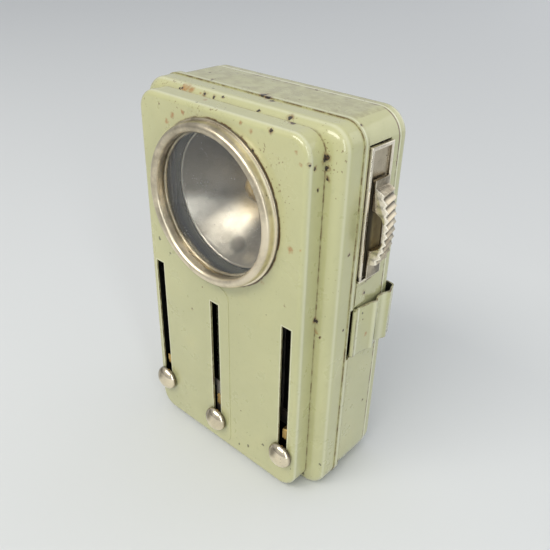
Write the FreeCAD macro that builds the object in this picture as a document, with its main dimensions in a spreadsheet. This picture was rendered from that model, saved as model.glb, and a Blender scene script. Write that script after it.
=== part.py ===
"""Morse signal lamp: a flat pocket lamp with three sliding colour filters below its lens.

Millimetres. X points to the lamp's left-to-right as seen from the front, +Y to its back and +Z up.
The origin lies on the underside of the front shell, at the middle of its width.
"""

import FreeCAD, Part
import os
import re
import Sketcher

DOC = FreeCAD.newDocument("morse_signal_lamp")
SHEET = DOC.addObject("Spreadsheet::Sheet", "dims")

DIMENSIONS = {
    # body as a whole
    "body_width": 70.6,
    "body_height": 113.0,
    "body_corner": 6.0,
    "running_clearance": 0.15,
    "seat_clearance": 0.05,
    # front shell
    "shell_front": -6.0,
    "parting": 3.15,
    "shell_gauge": 0.6,
    "shell_edge_round": 3.3,
    "rim_length": 1.75,
    "rim_proud": 0.3,
    # rear cover
    "cover_back": 21.8,
    "cover_side_inset": 0.35,
    "cover_top_inset": 0.4,
    "cover_foot": 0.1,
    "cover_corner": 7.0,
    "cover_edge_round": 2.8,
    "cover_back_gauge": 0.8,
    "band_start": 17.3,
    "band_inset": 0.4,
    "lap_length": 1.3,
    "lap_clearance": 0.25,
    "lap_gauge": 0.6,
    "parting_gap": 0.15,
    "cover_notch_margin": 0.25,
    # filter box on the front
    "box_width": 59.8,
    "box_bottom": 1.2,
    "box_top": 111.4,
    "box_depth": 6.2,
    "box_corner": 5.7,
    "box_edge_round": 1.5,
    "box_gauge": 0.5,
    "rib_width": 10.0,
    "rib_proud": 0.18,
    "rib_offset": 0.8,
    "rib_top": 61.5,
    "rib_round": 0.15,
    "tab_length": 6.0,
    "tab_height_low": 30.0,
    "tab_height_high": 92.0,
    # lens and its bezel
    "lens_offset": -0.8,
    "lens_height": 86.0,
    "bezel_proud": 3.8,
    "bezel_flange": 0.7,
    "bezel_bead_radius": 1.3,
    "bezel_flange_width": 0.6,
    "glass_overlap": 0.9,
    "sleeve_wall": 0.5,
    "sleeve_depth": 1.05,
    "glass_radius": 20.6,
    "glass_gauge": 1.2,
    "retainer_width": 1.4,
    "retainer_gauge": 0.9,
    # slots and knobs
    "slot_width": 3.3,
    "slot_left": -25.8,
    "slot_middle": -1.9,
    "slot_right": 25.4,
    "slot_top_outer": 59.4,
    "slot_top_middle": 55.0,
    "knob_height_outer": 14.2,
    "knob_height_middle": 11.0,
    "knob_radius": 4.1,
    "knob_length": 3.0,
    "knob_round": 2.8,
    "knob_standoff": 0.3,
    "shank_width": 2.0,
    "shank_height": 2.6,
    "lug_height": 4.0,
    "lug_rise": 5.0,
    "lug_front_gap": 0.25,
    # filter frames, one behind the other
    "frame_half_width": 22.0,
    "frame_half_height": 21.0,
    "frame_gauge": 0.8,
    "frame_pitch": 1.5,
    "frame_first_gap": 0.7,
    "pane_radius": 18.6,
    "pane_gauge": 0.5,
    "tail_width": 3.0,
    "ear_height": 5.0,
    "guide_bottom": 60.5,
    "guide_shoulder": 68.0,
    "guide_top": 105.4,
    "guide_overlap": 1.0,
    "guide_wall": 0.4,
    # reflector, bulb and socket
    "reflector_radius": 19.3,
    "reflector_flange_radius": 21.8,
    "reflector_depth": 15.5,
    "reflector_gauge": 0.4,
    "front_window_radius": 20.3,
    "neck_radius": 5.4,
    "neck_back": 12.0,
    "socket_radius": 5.35,
    "socket_front": 9.4,
    "socket_back": 17.0,
    "bulb_base_radius": 4.75,
    "bulb_base_front": 9.0,
    "bulb_base_back": 16.8,
    "bulb_contact_radius": 1.6,
    "bulb_contact_back": 18.65,
    "bulb_radius": 4.5,
    "bulb_centre": 6.0,
    "bulb_neck_radius": 3.6,
    # shelf, insulating board and contact strip behind the bulb
    "shelf_height": 68.2,
    "shelf_gauge": 0.6,
    "shelf_half_width": 30.5,
    "shelf_front": -0.2,
    "shelf_tab_start": 22.5,
    "shelf_tab_height": 5.0,
    "shelf_back": 16.4,
    "upright_front": 17.4,
    "upright_half_width": 9.0,
    "upright_top": 79.5,
    "board_gauge": 0.65,
    "strip_gauge": 0.3,
    "strip_half_width": 3.0,
    "strip_top": 89.0,
    "strip_bottom": 71.0,
    "rivet_radius": 1.0,
    "rivet_head_radius": 1.8,
    "rivet_head_gauge": 0.7,
    "rivet_spacing": 8.0,
    # battery
    "battery_half_width": 31.0,
    "battery_front": -4.4,
    "battery_depth": 22.0,
    "battery_bottom": 1.7,
    "battery_height": 62.0,
    "battery_corner": 3.0,
    "battery_foot_round": 2.0,
    "seal_height": 1.6,
    "seal_inset": 1.2,
    "terminal_width": 6.0,
    "terminal_gauge": 0.35,
    "terminal_offset": 17.0,
    # switch
    "bracket_gauge": 0.6,
    "bracket_front": -2.4,
    "switch_front": 3.6,
    "switch_back": 12.9,
    "switch_bottom": 70.5,
    "switch_top": 106.8,
    "switch_proud": 1.6,
    "switch_floor": 0.8,
    "switch_rail": 0.95,
    "switch_top_rail": 1.0,
    "switch_bottom_rail": 0.6,
    "switch_travel": 6.5,
    "slider_height": 27.1,
    "slider_gauge": 0.4,
    "slider_lift": 0.9,
    "slider_front_gap": 1.15,
    "slider_lip": 0.45,
    "slider_lip_gauge": 0.6,
    "key_travel": 0.35,
    "arch_start": 4.05,
    "arch_height": 21.0,
    "arch_rise": 4.0,
    "arch_fall": 1.5,
    "arch_band": 0.65,
    "tooth_depth": 0.8,
    "arch_hollow_start": 8.3,
    "arch_hollow_height": 10.9,
    "carrier_gauge": 0.3,
    "carrier_shank_width": 1.5,
    "carrier_shank_bottom": 73.0,
    "carrier_shank_height": 15.0,
    "key_pin_radius": 0.6,
    "key_pin_height": 75.0,
    "key_pin_end": 31.9,
    "key_bore_clearance": 0.06,
    "contact_block_gauge": 3.2,
    # hinge on the lamp's left edge
    "hinge_radius": 1.5,
    "hinge_standoff": 1.8,
    "hinge_pin_radius": 0.85,
    "hinge_bore_clearance": 0.05,
    "hinge_middle": 56.0,
    "knuckle_length": 12.0,
    "knuckle_gap": 0.3,
    "leaf_gauge": 0.6,
    "leaf_width": 6.0,
    # spring catch on the right edge and its slot
    "catch_bottom": 46.4,
    "catch_height": 15.7,
    "catch_gauge": 0.5,
    "catch_nose": 3.05,
    "catch_slot_width": 1.15,
    "catch_slot_back": 5.4,
    "catch_gap": 0.3,
    "catch_end": 9.0,
    "catch_rivet_offset": 12.0,
    "catch_rivet_spacing": 10.0,
    "striker_gauge": 0.5,
    "striker_inset": 0.65,
    "striker_reach": 1.2,
    "pad_height": 7.0,
    "pad_front": 3.6,
    "pad_back": 8.0,
    "pad_proud": 0.35,
    # paper lining inside the cover
    "liner_gauge": 0.3,
    "liner_half_width": 30.0,
    "liner_bottom": 4.0,
    "liner_top": 66.0,
}

for row, (alias, size) in enumerate(DIMENSIONS.items(), start=1):
    SHEET.set(f"A{row}", alias.replace("_", " "))
    SHEET.set(f"B{row}", str(size))
    SHEET.setAlias(f"B{row}", alias)
DOC.recompute()

WORD = re.compile(r"[a-z][a-z0-9_]*")
SUB_PARTS = []


# ---------------------------------------------------------------- sizes worked out from the sheet

HALF_WIDTH = "(body_width / 2)"
SHELL_HALF = f"({HALF_WIDTH} - rim_proud)"
SHELL_TOP = "(body_height - rim_proud)"
SHELL_INNER = f"({SHELL_HALF} - shell_gauge)"
SHELL_CORNER = "(body_corner - rim_proud)"
SHELL_WALL_BACK = "(shell_front + shell_gauge)"
COVER_HALF = f"({HALF_WIDTH} - cover_side_inset)"
COVER_TOP = "(body_height - cover_top_inset)"
COVER_FRONT = "(parting + parting_gap)"
LAP_HALF = f"({SHELL_INNER} - lap_clearance)"
LAP_TOP = f"({SHELL_TOP} - shell_gauge - lap_clearance)"
LAP_BOTTOM = "(shell_gauge + lap_clearance)"
COVER_INNER = f"({LAP_HALF} - lap_gauge)"
LAP_CORNER = f"({SHELL_CORNER} - shell_gauge - lap_clearance)"
COVER_BACK_INNER = "(cover_back - cover_back_gauge)"
BOX_FRONT = "(shell_front - box_depth)"
BOX_HALF = "(box_width / 2)"
BOX_WALL_BACK = f"({BOX_FRONT} + box_gauge)"
BOX_INNER = f"({BOX_HALF} - box_gauge)"
SLEEVE_INNER = "(glass_radius + seat_clearance)"
SLEEVE_OUTER = f"({SLEEVE_INNER} + sleeve_wall)"
BEZEL_WINDOW = "(glass_radius - glass_overlap)"
BEZEL_BEAD_OUTER = f"({BEZEL_WINDOW} + 2 * bezel_bead_radius)"
SHELF_TOP = "(shelf_height + shelf_gauge)"
BOARD_FRONT = "(upright_front + shelf_gauge)"
STRIP_FRONT = f"({BOARD_FRONT} + board_gauge + seat_clearance)"
BATTERY_BACK = "(battery_front + battery_depth)"
BATTERY_TOP = "(battery_bottom + battery_height)"
SWITCH_BASE = SHELL_INNER
SWITCH_FACE = f"({SWITCH_BASE} + switch_proud)"
FLOOR_FACE = f"({SWITCH_BASE} + switch_floor)"
RECESS_FRONT = "(switch_front + switch_rail)"
RECESS_BACK = "(switch_back - switch_rail)"
RECESS_BOTTOM = "(switch_bottom + switch_bottom_rail)"
RECESS_TOP = "(switch_top - switch_top_rail)"
SWITCH_MIDDLE = "((switch_front + switch_back) / 2)"
SLIDER_FRONT = f"({RECESS_FRONT} + slider_front_gap)"
SLIDER_BACK = f"({RECESS_BACK} - 2 * running_clearance)"
SLIDER_BOTTOM = f"({RECESS_BOTTOM} + 1.3 * running_clearance)"
SLIDER_BASE = f"({FLOOR_FACE} + slider_lift)"
SLIDER_FACE = f"({SLIDER_BASE} + slider_gauge)"
CARRIER_BASE = f"({FLOOR_FACE} + 0.7 * running_clearance)"
CARRIER_FACE = f"({CARRIER_BASE} + carrier_gauge)"
BRACKET_BASE = f"({SWITCH_BASE} - bracket_gauge)"
HINGE_X = f"(-({HALF_WIDTH} + hinge_standoff))"
CATCH_TOP = "(catch_bottom + catch_height)"
NOTCH_BOTTOM = "(catch_bottom - 1.5 * cover_notch_margin)"
NOTCH_TOP = f"({CATCH_TOP} + 1.5 * cover_notch_margin)"


def qualified(formula):
    """The formula with each size's alias written as a reference to the sheet."""
    return WORD.sub(lambda m: f"dims.{m.group()}" if m.group() in DIMENSIONS else m.group(), formula)


def value(formula):
    """The number that a formula gives with the sheet's present sizes."""
    return float(SHEET.evalExpression(qualified(formula)))


def bind(feature, prop, formula):
    feature.setExpression(prop, qualified(formula))


def keep(feature, label):
    """Registers a finished sub-part under the name that its file gets."""
    feature.Label = label
    SUB_PARTS.append(feature)
    return feature


# ---------------------------------------------------------------- sketches and body features


def origin_plane(body, role):
    return next(feature for feature in body.Origin.OriginFeatures if feature.Role == role)


def new_body(name):
    return DOC.addObject("PartDesign::Body", name + "_body")


def new_sketch(body, role, offset="0"):
    """A sketch on one of the body's origin planes, moved along that plane's normal."""
    sketch = body.newObject("Sketcher::SketchObject", body.Name + "_sketch")
    sketch.AttachmentSupport = [(origin_plane(body, role), "")]
    sketch.MapMode = "FlatFace"
    bind(sketch, "AttachmentOffset.Base.z", offset)
    return sketch


def place_point(sketch, curve, point, u, v):
    """Fixes a curve's point at a distance from the sketch's origin."""
    for kind, formula in (("DistanceX", u), ("DistanceY", v)):
        index = sketch.addConstraint(Sketcher.Constraint(kind, -1, 1, curve, point, value(formula)))
        bind(sketch, f"Constraints[{index}]", formula)


def draw_polygon(sketch, points):
    """A closed outline of straight lines through points given as pairs of formulas."""
    first = sketch.GeometryCount
    corners = [FreeCAD.Vector(value(u), value(v), 0) for u, v in points]
    count = len(points)
    for i in range(count):
        sketch.addGeometry(Part.LineSegment(corners[i], corners[(i + 1) % count]))
    for i in range(count):
        following = first + (i + 1) % count
        sketch.addConstraint(Sketcher.Constraint("Coincident", first + i, 2, following, 1))
    for i, (u, v) in enumerate(points):
        place_point(sketch, first + i, 1, u, v)


def draw_rectangle(sketch, u0, u1, v0, v1):
    draw_polygon(sketch, [(u0, v0), (u1, v0), (u1, v1), (u0, v1)])


def draw_circle(sketch, u, v, radius):
    centre = FreeCAD.Vector(value(u), value(v), 0)
    circle = sketch.addGeometry(Part.Circle(centre, FreeCAD.Vector(0, 0, 1), value(radius)))
    place_point(sketch, circle, 3, u, v)
    index = sketch.addConstraint(Sketcher.Constraint("Radius", circle, value(radius)))
    bind(sketch, f"Constraints[{index}]", radius)


def draw_rounded_rectangle(sketch, u0, u1, v0, v1, radius):
    """A rectangle with four equal corner arcs, each tangent to its two sides."""
    left, right, low, high, r = (value(formula) for formula in (u0, u1, v0, v1, radius))
    first = sketch.GeometryCount
    vector = FreeCAD.Vector
    sides = [
        (vector(left + r, low, 0), vector(right - r, low, 0)),
        (vector(right, low + r, 0), vector(right, high - r, 0)),
        (vector(right - r, high, 0), vector(left + r, high, 0)),
        (vector(left, high - r, 0), vector(left, low + r, 0)),
    ]
    centres = [(right - r, low + r), (right - r, high - r), (left + r, high - r), (left + r, low + r)]
    quarter = 1.5707963267948966
    for start, end in sides:
        sketch.addGeometry(Part.LineSegment(start, end))
    for i, (u, v) in enumerate(centres):
        circle = Part.Circle(vector(u, v, 0), vector(0, 0, 1), r)
        sketch.addGeometry(Part.ArcOfCircle(circle, (i - 1) * quarter, i * quarter))
    for i in range(4):
        arc = first + 4 + i
        sketch.addConstraint(Sketcher.Constraint("Tangent", first + i, 2, arc, 1))
        sketch.addConstraint(Sketcher.Constraint("Tangent", arc, 2, first + (i + 1) % 4, 1))
        sketch.addConstraint(Sketcher.Constraint("Vertical" if i % 2 else "Horizontal", first + i))
        if i:
            sketch.addConstraint(Sketcher.Constraint("Equal", first + 4, arc))
    index = sketch.addConstraint(Sketcher.Constraint("Radius", first + 4, value(radius)))
    bind(sketch, f"Constraints[{index}]", radius)
    limits = ((3, "DistanceX", u0), (1, "DistanceX", u1), (0, "DistanceY", v0), (2, "DistanceY", v1))
    for side, kind, formula in limits:
        index = sketch.addConstraint(Sketcher.Constraint(kind, -1, 1, first + side, 1, value(formula)))
        bind(sketch, f"Constraints[{index}]", formula)


def pad(body, sketch, length):
    """Adds material along the sketch plane's normal."""
    feature = body.newObject("PartDesign::Pad", body.Name + "_pad")
    feature.Profile = sketch
    bind(feature, "Length", length)
    return feature


def pocket(body, sketch, length):
    """Cuts material against the sketch plane's normal, and checks that some went."""
    DOC.recompute()
    before = body.Shape.Volume
    feature = body.newObject("PartDesign::Pocket", body.Name + "_pocket")
    feature.Profile = sketch
    bind(feature, "Length", length)
    DOC.recompute()
    if body.Shape.Volume >= before:
        raise RuntimeError(f"{body.Name}: a pocket cuts nothing")
    return feature


def round_edges(body, chosen, radius):
    """Fillets the edges for which chosen(edge) holds."""
    DOC.recompute()
    base = body.Tip
    names = [f"Edge{i}" for i, edge in enumerate(base.Shape.Edges, start=1) if chosen(edge)]
    feature = body.newObject("PartDesign::Fillet", body.Name + "_fillet")
    feature.Base = (base, names)
    bind(feature, "Radius", radius)
    return feature


def lies_at_y(place):
    """True for an edge that lies wholly in the plane across the lamp at this depth."""
    depth = value(place)
    return lambda edge: edge.BoundBox.YLength < 1e-4 and abs(edge.BoundBox.YMin - depth) < 1e-4


def slab(body, u0, u1, z0, z1, corner, y0, y1):
    """A rounded upright slab between two depths."""
    sketch = new_sketch(body, "XZ_Plane", f"-({y1})")
    draw_rounded_rectangle(sketch, u0, u1, z0, z1, corner)
    return pad(body, sketch, f"{y1} - ({y0})")


def cavity(name, u0, u1, z0, z1, corner, y0, y1, floor, floor_round):
    """The space inside a pressed pan, rounded where its walls meet the floor at the given depth."""
    body = new_body(name)
    slab(body, u0, u1, z0, z1, corner, y0, y1)
    round_edges(body, lies_at_y(floor), floor_round)
    return body


# ---------------------------------------------------------------- primitives


def box(name, x0, x1, y0, y1, z0, z1):
    feature = DOC.addObject("Part::Box", name)
    for prop, low, high in (("Length", x0, x1), ("Width", y0, y1), ("Height", z0, z1)):
        bind(feature, prop, f"({high}) - ({low})")
    for axis, low in (("x", x0), ("y", y0), ("z", z0)):
        bind(feature, f"Placement.Base.{axis}", low)
    return feature


TURNS = {
    "x": FreeCAD.Rotation(FreeCAD.Vector(0, 1, 0), 90),
    "y": FreeCAD.Rotation(FreeCAD.Vector(1, 0, 0), -90),
    "z": FreeCAD.Rotation(),
}


def rod(name, axis, radius, x, y, z, length):
    """A cylinder that starts at a place and runs along a row axis."""
    feature = DOC.addObject("Part::Cylinder", name)
    feature.Placement = FreeCAD.Placement(FreeCAD.Vector(), TURNS[axis])
    bind(feature, "Radius", radius)
    bind(feature, "Height", length)
    for direction, place in (("x", x), ("y", y), ("z", z)):
        bind(feature, f"Placement.Base.{direction}", place)
    return feature


def joined(name, pieces):
    feature = DOC.addObject("Part::MultiFuse", name)
    feature.Shapes = pieces
    return feature


def cut(name, base, tool):
    feature = DOC.addObject("Part::Cut", name)
    feature.Base = base
    feature.Tool = tool
    return feature


def turned(label, profile, x, y, z):
    """A body of revolution about a line along Y. The profile's points are a radius and a distance
    towards the lamp's front, measured from the depth y."""
    body = new_body(label)
    sketch = new_sketch(body, "XZ_Plane")
    draw_polygon(sketch, profile)
    feature = body.newObject("PartDesign::Revolution", label + "_turn")
    feature.Profile = sketch
    feature.ReferenceAxis = (sketch, ["V_Axis"])
    feature.Angle = 360
    body.Placement = FreeCAD.Placement(FreeCAD.Vector(), FreeCAD.Rotation(FreeCAD.Vector(1, 0, 0), 90))
    for direction, place in (("x", x), ("y", y), ("z", z)):
        bind(body, f"Placement.Base.{direction}", place)
    return keep(body, label)


# ---------------------------------------------------------------- front shell


def make_front_shell():
    """The pan that carries everything: lens window, slits for the box's tabs, rolled rim, and the
    notch in the rim for the catch's nose."""
    body = new_body("front_shell")
    slab(body, f"-{SHELL_HALF}", SHELL_HALF, "0", SHELL_TOP, SHELL_CORNER, "shell_front", "parting")
    round_edges(body, lies_at_y("shell_front"), "shell_edge_round")
    rim = (f"-{HALF_WIDTH}", HALF_WIDTH, "0", "body_height", "body_corner")
    slab(body, *rim, "parting - rim_length", "parting")
    inside = cavity("front_shell_space", f"-{SHELL_INNER}", SHELL_INNER, "shell_gauge",
                    f"{SHELL_TOP} - shell_gauge", f"{SHELL_CORNER} - shell_gauge", SHELL_WALL_BACK,
                    "parting + 1", SHELL_WALL_BACK, "shell_edge_round - shell_gauge")
    openings = [rod("shell_window", "y", "front_window_radius", "lens_offset", "shell_front - 1",
                    "lens_height", "shell_gauge + 2")]
    for side in ("", "-"):
        for level in ("low", "high"):
            openings.append(tab_block(f"shell_slit_{level}", side, level, "seat_clearance",
                                      "shell_front - 1", f"{SHELL_WALL_BACK} + 0.5"))
    openings.append(box("shell_catch_notch", f"{SHELL_INNER} - 0.1", f"{HALF_WIDTH} + 1",
                        "catch_nose - catch_slot_width", "parting + 1", NOTCH_BOTTOM, NOTCH_TOP))
    pan = cut("front_shell_pan", body, inside)
    return keep(cut("front_shell_pierced", pan, joined("shell_openings", openings)), "front_shell")


def tab_block(name, side, level, margin, y0, y1):
    """A block at one of the box's four bent tabs, on the lamp's left with side "-"."""
    x0, x1 = f"({BOX_INNER} - {margin})", f"({BOX_HALF} + {margin})"
    if side:
        x0, x1 = f"-{x1}", f"-{x0}"
    middle = f"tab_height_{level}"
    return box(name, x0, x1, y0, y1, f"{middle} - tab_length / 2 - {margin}",
               f"{middle} + tab_length / 2 + {margin}")


def make_catch_striker():
    """The tab inside the shell's right edge that the catch snaps over."""
    low, high = "catch_bottom + 4", f"{CATCH_TOP} - 4"
    face = f"{SHELL_INNER} - striker_inset"
    foot = box("striker_foot", f"{face} - striker_gauge", SHELL_INNER, "parting - 4", "parting - 3",
               low, high)
    tab = box("striker_tab", f"{face} - striker_gauge", face, "parting - 4", "parting + striker_reach",
              low, high)
    return keep(joined("striker_whole", [foot, tab]), "catch_striker")


# ---------------------------------------------------------------- filter box

# side, slot, knob height, order from the front, top of the slot
FILTERS = (
    ("middle", "slot_middle", "knob_height_middle", 0, "slot_top_middle"),
    ("left", "slot_left", "knob_height_outer", 1, "slot_top_outer"),
    ("right", "slot_right", "knob_height_outer", 2, "slot_top_outer"),
)


def make_filter_box():
    """The shallow front tray with three slots, a raised rib round the middle one and four tabs."""
    body = new_body("filter_box")
    slab(body, f"-{BOX_HALF}", BOX_HALF, "box_bottom", "box_top", "box_corner", BOX_FRONT, "shell_front")
    round_edges(body, lies_at_y(BOX_FRONT), "box_edge_round")
    rib_middle = "slot_middle + rib_offset"
    slab(body, f"{rib_middle} - rib_width / 2", f"{rib_middle} + rib_width / 2",
         "box_bottom + box_edge_round", "rib_top", "rib_width / 2.5",
         f"{BOX_FRONT} - rib_proud", BOX_WALL_BACK)
    round_edges(body, lies_at_y(f"{BOX_FRONT} - rib_proud"), "rib_round")
    inside = cavity("filter_box_space", f"-{BOX_INNER}", BOX_INNER, "box_bottom + box_gauge",
                    "box_top - box_gauge", "box_corner - box_gauge", BOX_WALL_BACK, "shell_front + 1",
                    BOX_WALL_BACK, "box_edge_round - box_gauge")
    openings = [rod("box_window", "y", f"{SLEEVE_OUTER} + seat_clearance", "lens_offset",
                    f"{BOX_FRONT} - 2", "lens_height", "box_gauge + 3")]
    for side, slot, knob, order, top in FILTERS:
        openings.append(box("box_slot_" + side, f"{slot} - slot_width / 2", f"{slot} + slot_width / 2",
                            f"{BOX_FRONT} - 2", f"{BOX_WALL_BACK} + 0.5",
                            f"{knob} - shank_height / 2 - running_clearance", top))
    pan = cut("filter_box_pan", body, inside)
    pan = cut("filter_box_pierced", pan, joined("box_openings", openings))
    tabs = [
        tab_block(f"box_tab_{level}", side, level, "0", "shell_front - 1", f"{SHELL_WALL_BACK} + 0.6")
        for side in ("", "-") for level in ("low", "high")
    ]
    return keep(joined("filter_box_whole", [pan] + tabs), "filter_box")


# ---------------------------------------------------------------- lens


def make_lens():
    """The bezel with its rolled bead and sleeve, the glass in it and the ring that holds the glass."""
    centre = ("lens_offset", BOX_FRONT, "lens_height")
    lip = "(glass_gauge + seat_clearance)"
    steps = 8
    bead = []
    for k in range(steps + 1):
        turn = f"(180 * {k} / {steps} * 1 deg)"
        bead.append((f"{BEZEL_WINDOW} + bezel_bead_radius * (1 - cos{turn})",
                     f"bezel_proud - bezel_bead_radius * (1 - sin{turn})"))
    turned("bezel_ring", [(BEZEL_WINDOW, lip)] + bead + [
        (BEZEL_BEAD_OUTER, "bezel_flange"),
        (f"{BEZEL_BEAD_OUTER} + bezel_flange_width", "bezel_flange"),
        (f"{BEZEL_BEAD_OUTER} + bezel_flange_width", "0"),
        (SLEEVE_OUTER, "0"),
        (SLEEVE_OUTER, "-sleeve_depth"),
        (SLEEVE_INNER, "-sleeve_depth"),
        (SLEEVE_INNER, lip),
    ], *centre)
    turned("lens_glass", [
        ("0", "0"), ("glass_radius", "0"), ("glass_radius", "glass_gauge"), ("0", "glass_gauge"),
    ], *centre)
    inner = "glass_radius - retainer_width"
    back = "-(retainer_gauge + seat_clearance)"
    turned("lens_retaining_ring", [
        (inner, back), ("glass_radius", back),
        ("glass_radius", "-seat_clearance"), (inner, "-seat_clearance"),
    ], *centre)


# ---------------------------------------------------------------- sliding filters

def filter_travel(knob, top):
    return f"({top} - {knob} - shank_height / 2 - 2 * running_clearance)"


def frame_front(order):
    return f"({BOX_WALL_BACK} + frame_first_gap + {order} * frame_pitch)"


def make_filter_frame(side, slot, knob, order, top):
    """A thin plate with a round window, and a tail that runs down to its knob."""
    body = new_body("filter_frame_" + side)
    centre = f"(lens_height - {filter_travel(knob, top)})"
    high, low = f"{centre} + frame_half_height", f"{centre} - frame_half_height"
    sign = "-" if side == "left" else ""
    near = f"lens_offset - ({sign}1) * frame_half_width"
    far = f"lens_offset + ({sign}1) * frame_half_width"
    half = f"({sign}1) * tail_width / 2"
    ear = "ear_height" if side != "middle" else "0"
    foot = f"{knob} - shank_height / 2"
    sketch = new_sketch(body, "XZ_Plane", f"-({frame_front(order)} + frame_gauge)")
    draw_polygon(sketch, [
        (far, high), (near, high), (near, low), (f"{slot} - {half}", low), (f"{slot} - {half}", foot),
        (f"{slot} + {half}", foot), (f"{slot} + {half}", f"{low} + {ear}"), (far, f"{low} + {ear}"),
    ] if side != "middle" else [
        (far, high), (near, high), (near, low), (f"{slot} - {half}", low), (f"{slot} - {half}", foot),
        (f"{slot} + {half}", foot), (f"{slot} + {half}", low), (far, low),
    ])
    draw_circle(sketch, "lens_offset", centre, "pane_radius")
    pad(body, sketch, "frame_gauge")
    keep(body, "filter_frame_" + side)


def make_filter(side, slot, knob, order, top):
    """One slide: frame, coloured pane, brass lug seen through the slot, and the knob on its shank."""
    make_filter_frame(side, slot, knob, order, top)
    centre = f"(lens_height - {filter_travel(knob, top)})"
    front = frame_front(order)
    pane_front = f"{front} + (frame_gauge - pane_gauge) / 2"
    pane = rod("pane_" + side, "y", "pane_radius - seat_clearance", "lens_offset", pane_front, centre,
               "pane_gauge")
    keep(pane, "filter_pane_" + side)
    lug_low = f"{knob} + lug_rise"
    lug = box("lug_" + side, f"{slot} - shank_width / 2", f"{slot} + shank_width / 2",
              f"{BOX_WALL_BACK} + lug_front_gap", front, lug_low, f"{lug_low} + lug_height")
    keep(lug, "filter_lug_" + side)

    body = new_body("filter_knob_" + side)
    sketch = new_sketch(body, "XZ_Plane")
    draw_rectangle(sketch, "0", "knob_radius", "0", "knob_length")
    turn = body.newObject("PartDesign::Revolution", "knob_turn_" + side)
    turn.Profile = sketch
    turn.ReferenceAxis = (sketch, ["V_Axis"])
    turn.Angle = 360
    DOC.recompute()
    length = value("knob_length")
    round_edges(body, lambda edge: abs(edge.BoundBox.ZMin - length) < 1e-4 and edge.BoundBox.ZLength < 1e-4,
                "knob_round")
    rib = "rib_proud" if side == "middle" else "0"
    back = f"({BOX_FRONT} - {rib} - knob_standoff)"
    reach = f"({front} - {back})"
    sketch = new_sketch(body, "XY_Plane", f"-{reach}")
    draw_rectangle(sketch, "-shank_width / 2", "shank_width / 2", "-shank_height / 2", "shank_height / 2")
    pad(body, sketch, f"{reach} + 0.2")
    body.Placement = FreeCAD.Placement(FreeCAD.Vector(), FreeCAD.Rotation(FreeCAD.Vector(1, 0, 0), 90))
    for direction, place in (("x", slot), ("y", back), ("z", knob)):
        bind(body, f"Placement.Base.{direction}", place)
    keep(body, "filter_knob_" + side)


def make_filter_guide(side, slot, sign):
    """A folded strip on the box's side wall, with fins that keep the three frames apart."""
    outer = f"{sign}({BOX_INNER} - seat_clearance)"
    wall = f"{sign}({BOX_INNER} - seat_clearance - guide_wall)"
    inner = f"lens_offset + ({sign}1) * (frame_half_width - guide_overlap)"
    clear = f"{slot} - ({sign}1) * (shank_width / 2 + 3 * running_clearance)"
    body = new_body("filter_guide_" + side)
    back = "shell_front - seat_clearance"
    front = f"{BOX_WALL_BACK} + box_edge_round - box_gauge + seat_clearance"
    sketch = new_sketch(body, "XZ_Plane", f"-({back})")
    draw_rectangle(sketch, wall, outer, "guide_shoulder", "guide_top")
    pad(body, sketch, f"{back} - ({front})")
    for order in range(3):
        fin = f"({frame_front(order)} + frame_gauge + running_clearance)"
        fin_gauge = "(frame_pitch - frame_gauge - 2 * running_clearance)"
        sketch = new_sketch(body, "XZ_Plane", f"-({fin} + {fin_gauge})")
        draw_polygon(sketch, [
            (outer, "guide_top"), (inner, "guide_top"), (inner, "guide_bottom"), (clear, "guide_bottom"),
            (clear, "guide_shoulder"), (outer, "guide_shoulder"),
        ])
        pad(body, sketch, fin_gauge)
    keep(body, "filter_guide_" + side)


# ---------------------------------------------------------------- reflector, bulb and socket


def make_reflector():
    """A parabolic bowl with a flat flange in front and a neck for the socket behind."""
    steps = 8
    inside = []
    for k in range(steps + 1):
        radius = f"(neck_radius + (reflector_radius - neck_radius) * {k} / {steps})"
        depth = f"reflector_depth * (1 - ({radius} / reflector_radius)^2)"
        inside.append((radius, f"-(reflector_gauge + {depth})"))
    outside = [(f"{radius} + reflector_gauge", f"{depth} - reflector_gauge") for radius, depth in inside]
    neck = f"-(neck_back - {SHELL_WALL_BACK})"
    profile = [("neck_radius", neck)] + inside + [
        ("reflector_radius", "0"),
        ("reflector_flange_radius", "0"),
        ("reflector_flange_radius", "-reflector_gauge"),
    ] + outside[::-1] + [("neck_radius + reflector_gauge", neck)]
    turned("reflector", profile, "lens_offset", SHELL_WALL_BACK, "lens_height")


def make_bulb():
    """The screw socket and the small bulb: a round glass on a brass base with a centre contact."""
    centre = ("lens_offset", "0", "lens_height")
    bore = "bulb_base_radius + 0.6 * running_clearance"
    turned("bulb_socket", [
        (bore, "-socket_front"), ("socket_radius", "-socket_front"),
        ("socket_radius", "-socket_back"), (bore, "-socket_back"),
    ], *centre)
    turned("bulb_base", [
        ("0", "-bulb_base_front"), ("bulb_base_radius", "-bulb_base_front"),
        ("bulb_base_radius", "-bulb_base_back"), ("bulb_contact_radius", "-(bulb_base_back + 1)"),
        ("bulb_contact_radius", "-bulb_contact_back"), ("0", "-bulb_contact_back"),
    ], *centre)
    globe = DOC.addObject("Part::Sphere", "bulb_globe")
    bind(globe, "Radius", "bulb_radius")
    for direction, place in (("x", "lens_offset"), ("y", "bulb_centre"), ("z", "lens_height")):
        bind(globe, f"Placement.Base.{direction}", place)
    stem = rod("bulb_stem", "y", "bulb_neck_radius", "lens_offset", "bulb_centre", "lens_height",
               "bulb_base_front - bulb_centre")
    trim = rod("bulb_trim", "y", "2 * bulb_radius", "lens_offset", "bulb_base_front", "lens_height",
               "bulb_radius")
    keep(cut("bulb_envelope", joined("bulb_whole", [globe, stem]), trim), "bulb_glass")


# ---------------------------------------------------------------- shelf and contacts


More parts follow.
